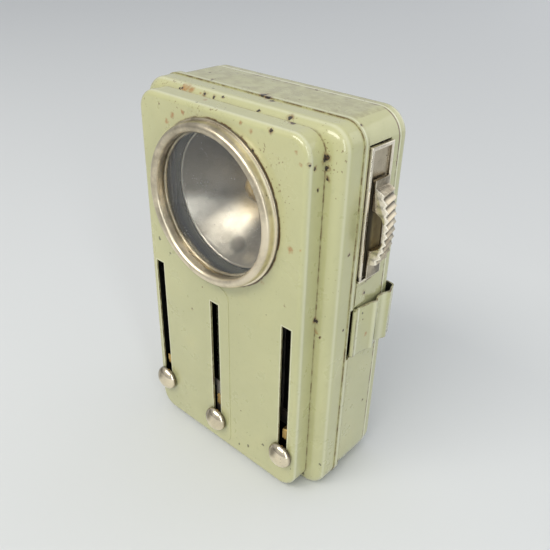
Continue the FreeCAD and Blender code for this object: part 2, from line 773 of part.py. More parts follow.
def make_shelf():
    """The folded shelf between battery and bulb, with an upright for the insulating board."""
    floor = box("shelf_floor", "-shelf_half_width", "shelf_half_width", "shelf_front", "shelf_back",
                "shelf_height", SHELF_TOP)
    ears = box("shelf_ears", f"-{SHELL_INNER}", SHELL_INNER, "shelf_front",
               "parting - lap_length - 2 * lap_clearance", "shelf_height", SHELF_TOP)
    tongue = box("shelf_tongue", "-upright_half_width", "upright_half_width", "shelf_back - 1", BOARD_FRONT,
                 "shelf_height", SHELF_TOP)
    upright = box("shelf_upright", "-upright_half_width", "upright_half_width", "upright_front", BOARD_FRONT,
                  "shelf_height", "upright_top")
    sheets = [floor, ears, tongue, upright]
    for side in ("", "-"):
        near, far = "shelf_tab_start", "shelf_half_width - 1"
        x0, x1 = (f"-({far})", f"-{near}") if side else (near, far)
        sheets.append(box("shelf_tab_foot", x0, x1, SHELL_WALL_BACK, "shelf_front", "shelf_height",
                          SHELF_TOP))
        sheets.append(box("shelf_tab_wall", x0, x1, SHELL_WALL_BACK, f"{SHELL_WALL_BACK} + shelf_gauge",
                          "shelf_height", f"{SHELF_TOP} + shelf_tab_height"))
    folded = joined("shelf_sheet", sheets)
    keep(cut("shelf_drilled", folded, rivet_holes("shelf")), "lamp_shelf")
    board = box("board_blank", "-upright_half_width", "upright_half_width", BOARD_FRONT,
                f"{BOARD_FRONT} + board_gauge", f"{SHELF_TOP} + 1", "upright_top")
    keep(cut("board_drilled", board, rivet_holes("board")), "insulating_board")


def rivet_places():
    """The two contact rivets, one each side of the strip's foot."""
    height = f"({SHELF_TOP} + upright_top) / 2"
    return [("lens_offset - rivet_spacing / 2", height), ("lens_offset + rivet_spacing / 2", height)]


def rivet_holes(name):
    holes = [
        rod(f"{name}_hole_{i}", "y", "rivet_radius + seat_clearance", x, "upright_front - 2", z, "6")
        for i, (x, z) in enumerate(rivet_places())
    ]
    return joined(name + "_holes", holes)


def rivet(name, x, z, front, rear):
    """A rivet along Y whose front head starts at one depth and whose rear head starts at another."""
    return [
        rod(name + "_front", "y", "rivet_head_radius", x, front, z, "rivet_head_gauge"),
        rod(name + "_shank", "y", "rivet_radius", x, front, z, f"{rear} - ({front})"),
        rod(name + "_rear", "y", "rivet_head_radius", x, rear, z, "rivet_head_gauge"),
    ]


def make_contacts():
    """The strip that presses on the bulb's centre contact, and the rivets that hold it."""
    half = "(rivet_spacing / 2 + rivet_head_radius)"
    foot_low = f"({SHELF_TOP} + upright_top) / 2 - rivet_head_radius"
    foot_high = f"({SHELF_TOP} + upright_top) / 2 + rivet_head_radius"
    back = f"{STRIP_FRONT} + strip_gauge"
    foot = box("strip_foot", f"lens_offset - {half}", f"lens_offset + {half}", STRIP_FRONT, back,
               foot_low, foot_high)
    blade = box("strip_blade", "lens_offset - strip_half_width", "lens_offset + strip_half_width",
                STRIP_FRONT, back, "strip_bottom", "strip_top")
    strip = joined("strip_whole", [foot, blade])
    keep(cut("strip_drilled", strip, rivet_holes("strip")), "bulb_contact_strip")
    rivets = []
    for i, (x, z) in enumerate(rivet_places()):
        front = "upright_front - seat_clearance - rivet_head_gauge"
        rear = f"{back} + seat_clearance"
        rivets += rivet(f"contact_rivet_{i}", x, z, front, rear)
    keep(joined("contact_rivet_set", rivets), "contact_rivets")


# ---------------------------------------------------------------- battery


def make_battery():
    """A flat battery in its card sleeve, sealed with pitch, with two brass terminals on top."""
    body = new_body("battery_case")
    sketch = new_sketch(body, "XY_Plane", "battery_bottom")
    outline = ("-battery_half_width", "battery_half_width", "battery_front", BATTERY_BACK)
    draw_rounded_rectangle(sketch, *outline, "battery_corner")
    pad(body, sketch, "battery_height")
    foot = value("battery_bottom")
    round_edges(body, lambda edge: edge.BoundBox.ZMax - foot < 1e-4, "battery_foot_round")
    keep(body, "battery_case")
    body = new_body("battery_seal")
    sketch = new_sketch(body, "XY_Plane", BATTERY_TOP)
    half, corner = "(battery_half_width - seal_inset)", "battery_corner - seal_inset"
    draw_rounded_rectangle(sketch, f"-{half}", half, "battery_front + seal_inset",
                           f"{BATTERY_BACK} - seal_inset", corner)
    pad(body, sketch, "seal_height")
    keep(body, "battery_seal")
    seal_top = f"({BATTERY_TOP} + seal_height)"
    middle = "(battery_front + battery_depth / 2)"
    for side, sign, reach in (("short", "", "6"), ("long", "-", "17")):
        low = f"{sign}terminal_offset - terminal_width / 2"
        high = f"{sign}terminal_offset + terminal_width / 2"
        riser = box(f"terminal_{side}_riser", low, high, middle, f"{middle} + terminal_gauge",
                    seal_top, f"{seal_top} + 2.2")
        fold = box(f"terminal_{side}_fold", low, high, f"{middle} - {reach} / 2",
                   f"{middle} + terminal_gauge", f"{seal_top} + 2.2 - terminal_gauge", f"{seal_top} + 2.2")
        keep(joined(f"terminal_{side}", [riser, fold]), f"battery_terminal_{side}")


# ---------------------------------------------------------------- switch with its signalling key


def make_switch_frame():
    """The bracket inside the shell and the nickel channel riveted to it, slit for the carrier."""
    slit = lambda name: box(
        name, f"{BRACKET_BASE} - 1", f"{FLOOR_FACE} + 1",
        f"{SWITCH_MIDDLE} - carrier_shank_width / 2 - running_clearance",
        f"{SWITCH_MIDDLE} + carrier_shank_width / 2 + running_clearance",
        "carrier_shank_bottom - 2 * running_clearance",
        "carrier_shank_bottom + carrier_shank_height + switch_travel + 2 * running_clearance")
    plate = box("bracket_plate", BRACKET_BASE, SWITCH_BASE, "bracket_front", "switch_back",
                "switch_bottom + 0.4", "switch_top - 0.4")
    keep(cut("bracket_slit", plate, slit("bracket_slit_tool")), "switch_bracket")
    channel = box("channel_block", SWITCH_BASE, SWITCH_FACE, "switch_front", "switch_back",
                  "switch_bottom", "switch_top")
    recess = box("channel_recess", FLOOR_FACE, f"{SWITCH_FACE} + 1", RECESS_FRONT, RECESS_BACK,
                 RECESS_BOTTOM, RECESS_TOP)
    tray = cut("channel_tray", channel, recess)
    tray = cut("channel_slit", tray, slit("channel_slit_tool"))
    keep(tray, "switch_channel")


def make_switch_carrier():
    """The insulated slide: a plate in the channel, a shank through the slit and a plate inside."""
    low, high = f"{SWITCH_MIDDLE} - carrier_shank_width / 2", f"{SWITCH_MIDDLE} + carrier_shank_width / 2"
    shank_top = "carrier_shank_bottom + carrier_shank_height"
    inner_face = f"{BRACKET_BASE} - 0.7 * running_clearance"
    outer = box("carrier_outer", CARRIER_BASE, CARRIER_FACE, SLIDER_FRONT, SLIDER_BACK,
                f"{SLIDER_BOTTOM} + 0.4",
                f"{SLIDER_BOTTOM} + slider_height - slider_lip_gauge - 2 * running_clearance")
    shank = box("carrier_shank", f"{inner_face} - carrier_gauge", CARRIER_FACE, low, high,
                "carrier_shank_bottom", shank_top)
    inner = box("carrier_inner", f"{inner_face} - carrier_gauge", inner_face, f"{low} - 1.6",
                f"{high} + 1.6", "carrier_shank_bottom", shank_top)
    bore = rod("carrier_bore", "x", "key_pin_radius + key_bore_clearance", "key_pin_end - 1", SWITCH_MIDDLE,
               "key_pin_height", "8")
    keep(cut("carrier_bored", joined("carrier_whole", [outer, shank, inner]), bore), "switch_carrier")


def arch_outline(rise):
    """The arch's outline over its height: a hump cut by teeth, from the slider's face out."""
    teeth = 10
    points = []
    for k in range(2 * teeth + 1):
        share = f"{k} / {2 * teeth}"
        hump = f"({rise}) * sin(180 * {share} * 1 deg)^0.45" if 0 < k < 2 * teeth else "0"
        tooth = "tooth_depth" if k % 2 else "0"
        points.append((f"{SLIDER_FACE} + {hump} + {tooth}",
                       f"{SLIDER_BOTTOM} + arch_start + arch_height * {share}"))
    root = f"{SLIDER_FACE} - slider_gauge / 2"
    return [(root, points[0][1])] + points + [(root, points[-1][1])]


def hollow_outline(rise):
    """The outline of the arch's opening, which leaves a thin toothed band over it."""
    low = f"{SLIDER_BOTTOM} + arch_hollow_start"
    high = f"{low} + arch_hollow_height"
    root, crest = f"{SLIDER_BASE} - 1", f"{SLIDER_FACE} + ({rise}) - arch_band"
    shoulder = f"{crest} - 0.9"
    return [
        (root, low), (f"{SLIDER_FACE} + 0.4", low), (shoulder, f"{low} + 1.1"), (crest, f"{low} + 2.8"),
        (crest, f"{high} - 2.8"), (shoulder, f"{high} - 1.1"), (f"{SLIDER_FACE} + 0.4", high), (root, high),
    ]


def loft(body, kind, outline, past):
    """Adds or cuts the form between an outline at the slider's front and the lower one at its back."""
    sketches = []
    for rise, depth in (("arch_rise", f"{SLIDER_FRONT} - {past}"),
                        ("arch_rise - arch_fall", f"{SLIDER_BACK} + {past}")):
        sketch = new_sketch(body, "XZ_Plane", f"-({depth})")
        draw_polygon(sketch, outline(rise))
        sketches.append(sketch)
    DOC.recompute()
    feature = body.newObject(f"PartDesign::{kind}Loft", body.Name + "_loft")
    feature.Profile = sketches[0]
    feature.Sections = sketches[1:]
    feature.Ruled = True


def make_thumb_piece():
    """The plate that the thumb moves and presses, with a toothed hollow arch and a lipped top end."""
    body = new_body("thumb_piece")
    top = f"{SLIDER_BOTTOM} + slider_height"
    sketch = new_sketch(body, "YZ_Plane", SLIDER_BASE)
    draw_rectangle(sketch, SLIDER_FRONT, SLIDER_BACK, SLIDER_BOTTOM, top)
    pad(body, sketch, "slider_gauge")
    sketch = new_sketch(body, "YZ_Plane", f"{SLIDER_BASE} - slider_lip")
    draw_rectangle(sketch, SLIDER_FRONT, SLIDER_BACK, f"{top} - slider_lip_gauge", top)
    pad(body, sketch, "slider_lip + slider_gauge / 2")
    loft(body, "Additive", arch_outline, "0")
    loft(body, "Subtractive", hollow_outline, "0.01")
    keep(body, "thumb_piece")
    pin = rod("key_pin_rod", "x", "key_pin_radius", "key_pin_end", SWITCH_MIDDLE, "key_pin_height",
              f"{SLIDER_BASE} - key_pin_end")
    keep(pin, "key_pin")


def make_switch_contact():
    """The insulated block on the shelf and the strip that the pin meets when the key is pressed."""
    face = "(key_pin_end - key_travel - seat_clearance)"
    front, back = f"{SWITCH_MIDDLE} - 2.5", f"{SWITCH_MIDDLE} + 2.5"
    block = box("contact_block_body", f"{face} - strip_gauge - 2", f"{face} - strip_gauge", front, back,
                SHELF_TOP, f"{SHELF_TOP} + contact_block_gauge")
    keep(block, "contact_block")
    strip = box("key_strip_blade", f"{face} - strip_gauge", face, front, back,
                f"{SHELF_TOP} + seat_clearance", "key_pin_height + switch_travel + 2")
    keep(strip, "key_contact_strip")


# ---------------------------------------------------------------- rear cover


def make_rear_cover():
    """The deep lid: lapped rim, stepped band near its back, notches for the switch and the catch."""
    body = new_body("rear_cover")
    ends = ("cover_foot", COVER_TOP, "cover_corner")
    slab(body, f"-{COVER_HALF}", COVER_HALF, *ends, COVER_FRONT, "band_start")
    band_half = f"({COVER_HALF} - band_inset)"
    slab(body, f"-{band_half}", band_half, *ends, "band_start - 2", "cover_back")
    round_edges(body, lies_at_y("cover_back"), "cover_edge_round")
    slab(body, f"-{LAP_HALF}", LAP_HALF, LAP_BOTTOM, LAP_TOP, LAP_CORNER, "parting - lap_length",
         f"{COVER_FRONT} + 1")
    strip_top = "switch_bottom - cover_notch_margin"
    strip = box("cover_strip", f"{COVER_HALF} - 0.3", f"{COVER_HALF} + pad_proud", "pad_front", "pad_back",
                f"{strip_top} - pad_height", strip_top)
    inside = cavity("rear_cover_space", f"-{COVER_INNER}", COVER_INNER, f"{LAP_BOTTOM} + lap_gauge",
                    f"{LAP_TOP} - lap_gauge", f"{LAP_CORNER} - lap_gauge", "parting - lap_length - 1",
                    COVER_BACK_INNER, COVER_BACK_INNER, "cover_edge_round - cover_back_gauge")
    rim, inner, outer = "parting - lap_length - 1", f"{COVER_INNER} - 2", f"{HALF_WIDTH} + 5"
    openings = [
        box("cover_switch_notch", inner, outer, rim, "switch_back + cover_notch_margin",
            strip_top, "switch_top + cover_notch_margin"),
        box("cover_catch_notch", inner, outer, rim, "catch_slot_back", NOTCH_BOTTOM, NOTCH_TOP),
    ]
    for i in range(2):
        openings.append(rod(f"cover_rivet_hole_{i}", "y", "rivet_radius + 4 * seat_clearance",
                            "catch_rivet_offset", f"{COVER_BACK_INNER} - 1", catch_rivet_height(i),
                            "cover_back_gauge + 2"))
    shell = cut("rear_cover_pan", joined("rear_cover_blank", [body, strip]), inside)
    keep(cut("rear_cover_pierced", shell, joined("cover_openings", openings)), "rear_cover")
    front = f"({COVER_BACK_INNER} - rivet_head_gauge - liner_gauge - 0.6)"
    lining = box("lining_sheet", "-liner_half_width", "liner_half_width", front, f"{front} + liner_gauge",
                 "liner_bottom", "liner_top")
    keep(lining, "cover_lining")


def make_hinge():
    """Three knuckles on a pin: the outer two on the shell, the middle one on the cover."""
    low = "(hinge_middle - 1.5 * knuckle_length - knuckle_gap)"
    middle = "(hinge_middle - knuckle_length / 2)"
    high = "(hinge_middle + knuckle_length / 2 + knuckle_gap)"
    bore = rod("hinge_bore", "z", "hinge_pin_radius + hinge_bore_clearance", HINGE_X, "parting",
               f"{low} - 5", "3 * knuckle_length + 20")
    pieces = []
    for name, start in (("low", low), ("high", high)):
        end = f"{start} + knuckle_length"
        pieces.append(rod("knuckle_" + name, "z", "hinge_radius", HINGE_X, "parting", start,
                          "knuckle_length"))
        pieces.append(box("leaf_" + name, f"-({HALF_WIDTH} + leaf_gauge)", f"-{HALF_WIDTH}",
                          "parting - leaf_width", "parting", start, end))
    shell_leaf = joined("shell_leaf_whole", pieces)
    keep(cut("shell_leaf_bored", shell_leaf, bore), "hinge_leaf_shell")
    end = f"{middle} + knuckle_length"
    link_front = "parting + 2 * lap_clearance"
    cover_leaf = joined("cover_leaf_whole", [
        rod("knuckle_middle", "z", "hinge_radius", HINGE_X, "parting", middle, "knuckle_length"),
        box("leaf_link", HINGE_X, f"-{COVER_HALF}", link_front, f"{link_front} + 1", middle, end),
        box("leaf_middle", f"-({COVER_HALF} + leaf_gauge)", f"-{COVER_HALF}", link_front,
            "parting + leaf_width", middle, end),
    ])
    keep(cut("cover_leaf_bored", cover_leaf, bore), "hinge_leaf_cover")
    foot = f"{low} - 0.8"
    pin = joined("hinge_pin_whole", [
        rod("hinge_pin_shaft", "z", "hinge_pin_radius", HINGE_X, "parting", foot,
            "3 * knuckle_length + 2.2"),
        rod("hinge_pin_foot", "z", "hinge_radius - 0.2", HINGE_X, "parting", foot, "0.75"),
    ])
    keep(pin, "hinge_pin")


# ---------------------------------------------------------------- spring catch


def catch_rivet_height(i):
    return f"(catch_bottom + catch_height / 2 + ({i} - 0.5) * catch_rivet_spacing)"


def make_spring_catch():
    """A sprung sheet round the rear right corner: a curled nose, two ripples and a riveted back."""
    side = f"({COVER_HALF} + catch_gap + catch_gauge)"
    back = "(cover_back + catch_gap + catch_gauge)"
    # along the side from the nose to the rear corner: depth, and how far it stands off the side
    ripples = (("0", "-0.1"), ("1.6", "0.2"), ("4.3", "0.3"), ("7.2", "0.9"), ("8.3", "1.5"),
               ("10.2", "0.55"), ("11.9", "0.25"), ("14.1", "0.95"), ("15.3", "1.35"), ("17", "0.6"))
    outer = [(f"{side} + {rise}", f"catch_nose + {run}") for run, rise in ripples]
    outer += [
        (f"{side} - 0.3", f"{back} - 0.6"), (f"{side} - 3.2", f"{back} + 0.4"), (f"{side} - 7", back),
        ("catch_end", back),
    ]
    inner = [(f"{x} - catch_gauge", y) for x, y in outer[:len(ripples)]]
    inner += [
        (f"{side} - 0.3 - catch_gauge", f"{back} - 0.6 - catch_gauge * 0.6"),
        (f"{side} - 3.2 - catch_gauge * 0.6", f"{back} + 0.4 - catch_gauge"),
        (f"{side} - 7", f"{back} - catch_gauge"), ("catch_end", f"{back} - catch_gauge"),
    ]
    body = new_body("spring_catch")
    sketch = new_sketch(body, "XY_Plane", "catch_bottom")
    draw_polygon(sketch, outer + inner[::-1])
    pad(body, sketch, "catch_height")
    sketch = new_sketch(body, "XY_Plane", "catch_bottom")
    nose = "catch_nose"
    draw_rectangle(sketch, f"{side} - catch_gauge - 0.6", f"{side} - 0.15", nose, f"{nose} + 0.8")
    pad(body, sketch, "catch_height")
    for i in range(2):
        sketch = new_sketch(body, "XZ_Plane", f"-({back} - catch_gauge - 1)")
        draw_circle(sketch, "catch_rivet_offset", catch_rivet_height(i), "rivet_radius + seat_clearance")
        pocket(body, sketch, "catch_gauge + 2")
    keep(body, "spring_catch")
    rivets = []
    for i in range(2):
        head = f"({back} + seat_clearance)"
        tail = f"({COVER_BACK_INNER} - 0.3 - rivet_head_gauge)"
        z = catch_rivet_height(i)
        rivets += rivet(f"catch_rivet_{i}", "catch_rivet_offset", z, tail, head)
    keep(joined("catch_rivet_set", rivets), "catch_rivets")


# ---------------------------------------------------------------- the whole lamp


def check_features():
    for feature in DOC.Objects:
        if {"Invalid", "Error"} & set(feature.State):
            raise RuntimeError(f"{feature.Name} failed: {feature.State}")
    for feature in SUB_PARTS:
        if feature.Shape.isNull() or not feature.Shape.isValid():
            raise RuntimeError(f"{feature.Label}: its shape is null or not valid")


def main():
    make_front_shell()
    make_catch_striker()
    make_filter_box()
    make_lens()
    for one in FILTERS:
        make_filter(*one)
    make_filter_guide("left", "slot_left", "-")
    make_filter_guide("right", "slot_right", "")
    make_reflector()
    make_bulb()
    make_shelf()
    make_contacts()
    make_battery()
    make_switch_frame()
    make_switch_carrier()
    make_thumb_piece()
    make_switch_contact()
    make_rear_cover()
    make_hinge()
    make_spring_catch()
    DOC.recompute()
    check_features()
    os.makedirs("parts", exist_ok=True)
    for feature in SUB_PARTS:
        feature.Shape.exportStep(f"parts/{feature.Label}.step")
        print(f"{feature.Label}: {feature.Shape.Volume:.1f} mm3, {len(feature.Shape.Solids)} solids")


main()
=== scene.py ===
"""Morse signal lamp: its finishes, its finer pieces and its studio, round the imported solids.

Metres, in the lamp's own frame: +X to its right as seen from the front, +Y to its back, +Z up.
"""

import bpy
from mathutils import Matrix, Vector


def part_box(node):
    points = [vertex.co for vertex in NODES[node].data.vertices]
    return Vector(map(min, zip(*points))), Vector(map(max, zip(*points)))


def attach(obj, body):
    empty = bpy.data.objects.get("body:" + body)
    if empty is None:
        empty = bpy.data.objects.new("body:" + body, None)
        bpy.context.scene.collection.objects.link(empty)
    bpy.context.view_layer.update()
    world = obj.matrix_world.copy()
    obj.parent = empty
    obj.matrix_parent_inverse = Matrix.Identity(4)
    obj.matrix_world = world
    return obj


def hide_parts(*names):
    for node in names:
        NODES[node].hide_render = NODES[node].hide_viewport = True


bl_info = {
    "name": "Morse signal lamp",
    "version": (1, 0, 0),
    "blender": (4, 5, 0),
    "location": "3D View > Sidebar > Signal Lamp",
    "description": "Dresses the morse signal lamp's solids with enamel, nickel, glass and brass",
    "category": "Object",
}

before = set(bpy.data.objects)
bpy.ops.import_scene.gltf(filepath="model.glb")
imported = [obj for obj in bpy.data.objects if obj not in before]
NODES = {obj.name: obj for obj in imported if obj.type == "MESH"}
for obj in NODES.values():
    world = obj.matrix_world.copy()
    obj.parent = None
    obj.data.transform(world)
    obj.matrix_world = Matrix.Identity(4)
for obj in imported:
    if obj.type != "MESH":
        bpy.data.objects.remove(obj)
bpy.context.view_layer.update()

import math

import bpy
from bpy.props import FloatProperty, FloatVectorProperty, IntProperty, PointerProperty
from mathutils import Matrix, Vector

MM = 0.001
SIDES = ("left", "middle", "right")


def corners(node):
    """The low and the high corner of a CAD node's box, in millimetres."""
    low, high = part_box(node)
    return Vector(low) / MM, Vector(high) / MM


def middle(node):
    """The middle of a CAD node's box, in millimetres."""
    low, high = corners(node)
    return (low + high) / 2


def depths(node):
    """A CAD node's front and back, in millimetres."""
    return tuple(corner.y for corner in corners(node))


def radius_of(node):
    """Half the width of a round CAD node, in millimetres."""
    low, high = corners(node)
    return (high.x - low.x) / 2


# places and sizes in millimetres
LENS_X, LENS_Z = middle("bezel_ring").x, middle("bezel_ring").z
BEZEL_RADIUS = radius_of("bezel_ring")
BOX_LOW, BOX_HIGH = corners("filter_box")
BOX_FACE = depths("lens_glass")[1]  # the back of the glass, a tenth behind the face of the box
BOX_CORNER = 5.7
SHELL_LOW, SHELL_HIGH = corners("front_shell")
SHELL_CORNER = 7.0
BOX_BACK = SHELL_LOW.y
PARTING = SHELL_HIGH.y
COVER_LOW, COVER_HIGH = corners("rear_cover")
COVER_ROUND, COVER_STEP = 2.8, 16.5  # the rounding of its back edge, and how far back its step is
CHANNEL_LOW, CHANNEL_HIGH = corners("switch_channel")
SLIDER_LOW = corners("thumb_piece")[0]
SLIDER_PLATE = 0.85
TEETH, TOOTH_PITCH = 10, 2.1
TEETH_START, ARCH_RISE = 4.05, 4.0  # above the plate's lower end, and out from its face
LEAF_LOW, LEAF_HIGH = corners("spring_catch")
KNOB_DEPTH = 3.0  # from a knob's crown to its back
SLOT_HALF = 1.65  # half a slot's width
SLOT_FOOT = 1.45  # a slot ends this far below its knob's middle
SLOT_TOPS = (59.4, 55.0, 59.4)
SLOTS = tuple((middle("filter_knob_" + side).x, middle("filter_knob_" + side).z - SLOT_FOOT, top)
              for side, top in zip(SIDES, SLOT_TOPS))


# ---------------------------------------------------------------- what a user would change


def colour(name, description, default):
    return FloatVectorProperty(
        name=name, description=description, subtype="COLOR", size=3, min=0, max=1, default=default
    )


class LampFinish(bpy.types.PropertyGroup):
    """Colours and wear of the lamp's materials."""

    enamel: colour("Enamel", "Sage green of the case", (0.475, 0.470, 0.245))
    rust: colour("Rust", "Rust round the chips", (0.22, 0.11, 0.035))
    chip: colour("Chip", "Dark bare steel in the chips", (0.020, 0.015, 0.011))
    nickel: colour("Nickel", "Warm nickel plate", (0.82, 0.72, 0.54))
    tarnish: colour("Tarnish", "Brown tarnish on the nickel", (0.20, 0.14, 0.08))
    brass: colour("Brass", "Tarnished brass", (0.62, 0.42, 0.15))
    steel: colour("Steel", "Bare steel inside", (0.33, 0.31, 0.28))
    silver: colour("Silver", "Mirror coat of the reflector", (0.57, 0.53, 0.47))
    wear: FloatProperty(name="Wear", description="How far chips and rust reach", default=1.0, min=0, max=2)


class LampShape(bpy.types.PropertyGroup):
    """Sizes of the finer pieces."""

    segments: IntProperty(
        name="Segments", description="Sides of a turned piece", default=128, min=16, max=256
    )
    sheet: FloatProperty(
        name="Sheet", description="Gauge of the spring sheet", unit="LENGTH", default=0.0005
    )


class LampStudio(bpy.types.PropertyGroup):
    """Camera and light."""

    lens: FloatProperty(name="Lens", description="Focal length", unit="CAMERA", default=41.70)
    key: FloatProperty(name="Key", description="Power of the lamp at the front", unit="POWER", default=4.9)
    side: FloatProperty(
        name="Side", description="Power of the tall lamp at the right", unit="POWER", default=1.95
    )
    back: FloatProperty(name="Back", description="Power of the soft lamp behind", unit="POWER", default=3.0)
    sky: FloatProperty(name="Sky", description="Strength of the soft light from all round", default=0.9)


# ---------------------------------------------------------------- materials


class Weave:
    """A material's node tree, w below, with one short call for each kind of node."""

    def __init__(self, name):
        taken = bpy.data.materials.get(name)
        if taken:  # a solid came with a plain material of this name
            taken.name = "plain_" + name
        self.material = bpy.data.materials.new(name)
        self.material.use_nodes = True
        self.tree = self.material.node_tree
        self.shader = self.tree.nodes["Principled BSDF"]
        self.place = self.node("ShaderNodeTexCoord").outputs["Object"]
        parts = self.node("ShaderNodeSeparateXYZ")
        self.feed(parts.inputs[0], self.place)
        self.x, self.y, self.z = (self.math("DIVIDE", part, MM) for part in parts.outputs)

    def node(self, kind, **settings):
        made = self.tree.nodes.new(kind)
        for key, value in settings.items():
            setattr(made, key, value)
        return made

    def feed(self, socket, value):
        if isinstance(value, bpy.types.NodeSocket):
            self.tree.links.new(value, socket)
        elif socket.type == "RGBA":
            socket.default_value = (*value[:3], 1)
        else:
            socket.default_value = value

    def math(self, operation, a, b=0.0):
        made = self.node("ShaderNodeMath", operation=operation)
        self.feed(made.inputs[0], a)
        self.feed(made.inputs[1], b)
        return made.outputs[0]

    def over(self, value, limit):
        return self.math("GREATER_THAN", value, limit)

    def under(self, value, limit):
        return self.math("LESS_THAN", value, limit)

    def less(self, a, b):
        return self.math("SUBTRACT", a, b)

    def slant(self, a, b):
        """How long a line is that runs a one way and b the other."""
        return self.math("SQRT", self.math("ADD", self.math("POWER", a, 2.0), self.math("POWER", b, 2.0)))

    def most(self, *values):
        """The largest of several masks."""
        first, *rest = values
        for value in rest:
            first = self.math("MAXIMUM", first, value)
        return first

    def both(self, *values):
        """Several masks multiplied."""
        first, *rest = values
        for value in rest:
            first = self.math("MULTIPLY", first, value)
        return first

    def stretch(self, scale, turn=(0, 0, 0)):
        made = self.node("ShaderNodeMapping")
        self.feed(made.inputs["Vector"], self.place)
        made.inputs["Scale"].default_value = scale
        made.inputs["Rotation"].default_value = turn
        return made.outputs[0]

    def noise(self, scale, detail=3.0, roughness=0.55, place=None):
        made = self.node("ShaderNodeTexNoise")
        self.feed(made.inputs["Vector"], place or self.place)
        made.inputs["Scale"].default_value = scale
        made.inputs["Detail"].default_value = detail
        made.inputs["Roughness"].default_value = roughness
        return made.outputs["Fac"]

    def warped(self, scale, reach):
        """The place, pushed about by noise, so that round marks get ragged outlines."""
        made = self.node("ShaderNodeTexNoise")
        self.feed(made.inputs["Vector"], self.place)
        made.inputs["Scale"].default_value = scale
        made.inputs["Detail"].default_value = 4
        lower = self.node("ShaderNodeVectorMath", operation="SUBTRACT")
        self.feed(lower.inputs[0], made.outputs["Color"])
        lower.inputs[1].default_value = (0.5, 0.5, 0.5)
        pushed = self.node("ShaderNodeVectorMath", operation="MULTIPLY_ADD")
        self.feed(pushed.inputs[0], lower.outputs[0])
        pushed.inputs[1].default_value = (reach, reach, reach)
        self.feed(pushed.inputs[2], self.place)
        return pushed.outputs[0]

    def from_point(self, x, y, z, place=None):
        """Millimetres from a point given in millimetres."""
        made = self.node("ShaderNodeVectorMath", operation="DISTANCE")
        self.feed(made.inputs[0], place or self.place)
        made.inputs[1].default_value = (x * MM, y * MM, z * MM)
        return self.math("DIVIDE", made.outputs["Value"], MM)

    def cells(self, scale, place=None):
        made = self.node("ShaderNodeTexVoronoi")
        self.feed(made.inputs["Vector"], place or self.place)
        made.inputs["Scale"].default_value = scale
        return made.outputs["Distance"]

    def span(self, value, low, high, to_low=0.0, to_high=1.0):
        made = self.node("ShaderNodeMapRange", interpolation_type="SMOOTHSTEP")
        self.feed(made.inputs["Value"], value)
        made.inputs["From Min"].default_value = low
        made.inputs["From Max"].default_value = high
        made.inputs["To Min"].default_value = to_low
        made.inputs["To Max"].default_value = to_high
        return made.outputs[0]

    def near(self, value, place, reach):
        """1 where a value is at a place, down to 0 at that reach from it."""
        return self.span(self.math("ABSOLUTE", self.less(value, place)), 0, reach, 1, 0)

    def blend(self, share, a, b):
        made = self.node("ShaderNodeMix", data_type="RGBA")
        self.feed(made.inputs["Factor"], share)
        self.feed(made.inputs[6], a)
        self.feed(made.inputs[7], b)
        return made.outputs[2]

    def bump(self, height, distance, under=None):
        made = self.node("ShaderNodeBump")
        self.feed(made.inputs["Height"], height)
        made.inputs["Distance"].default_value = distance
        if under:
            self.feed(made.inputs["Normal"], under)
        return made.outputs[0]

    def outline(self, low, high, corner):
        """Millimetres outside a rounded upright rectangle, negative inside it."""
        runs = []
        for value, a, b in ((self.x, low[0], high[0]), (self.z, low[1], high[1])):
            off = self.math("ABSOLUTE", self.less(value, (a + b) / 2))
            runs.append(self.math("MAXIMUM", self.less(off, (b - a) / 2 - corner), 0.0))
        return self.less(self.slant(*runs), corner)

    def round_lens(self):
        """Millimetres from the lens's middle line."""
        return self.slant(self.less(self.x, LENS_X), self.less(self.z, LENS_Z))

    def set(self, **sockets):
        for name, value in sockets.items():
            self.feed(self.shader.inputs[name.replace("_", " ").title().replace("Ior", "IOR")], value)
        return self.material


def scaled(rgb, k):
    return tuple(min(1.0, channel * k) for channel in rgb)


# chips in the enamel: x, y, z and how far each reaches, in millimetres
BOX_CHIPS = (
    (18.4, -12.2, 110.7, 0.8), (29.9, -11.6, 105.1, 0.55), (29.9, -9.8, 103.9, 0.6), (29.9, -8.2, 98.4, 0.5),
    (20.2, -6.4, 111.4, 1.0), (29.8, -6.2, 61.3, 1.0), (29.9, -6.3, 105.4, 1.2), (-21.0, -12.3, 108.5, 0.4),
    (24.6, -12.3, 66.0, 0.4), (-11.9, -12.3, 48.2, 0.4), (8.6, -12.3, 20.4, 0.3), (9.5, -12.3, 107.0, 0.55),
    (13.1, -12.3, 104.4, 0.5), (-6.9, -12.3, 58.2, 0.3),
)
SHELL_CHIPS = (
    (-10.8, -5.0, 111.7, 0.75), (-7.4, -5.1, 111.6, 0.6), (-4.6, -4.6, 112.1, 0.5), (3.2, 1.9, 113.0, 1.3),
    (7.8, 0.1, 112.7, 0.8), (5.3, 1.3, 112.7, 1.1), (18.0, -5.0, 111.8, 0.9), (8.2, -5.3, 111.4, 0.5),
    (-19.5, -5.1, 111.7, 0.6), (-20.3, -5.4, 111.3, 0.55), (-16.3, 2.6, 113.0, 0.5), (32.9, 2.7, 111.8, 0.5),
    (34.7, 0.2, 112.2, 0.7), (35.0, -0.8, 80.4, 0.45), (35.0, -0.3, 57.6, 0.35), (30.2, -5.9, 105.6, 1.0),
    (30.3, -5.9, 103.2, 0.9), (30.6, -5.9, 100.6, 0.8), (30.3, -5.9, 60.8, 0.7), (31.8, -5.9, 56.4, 0.45),
)
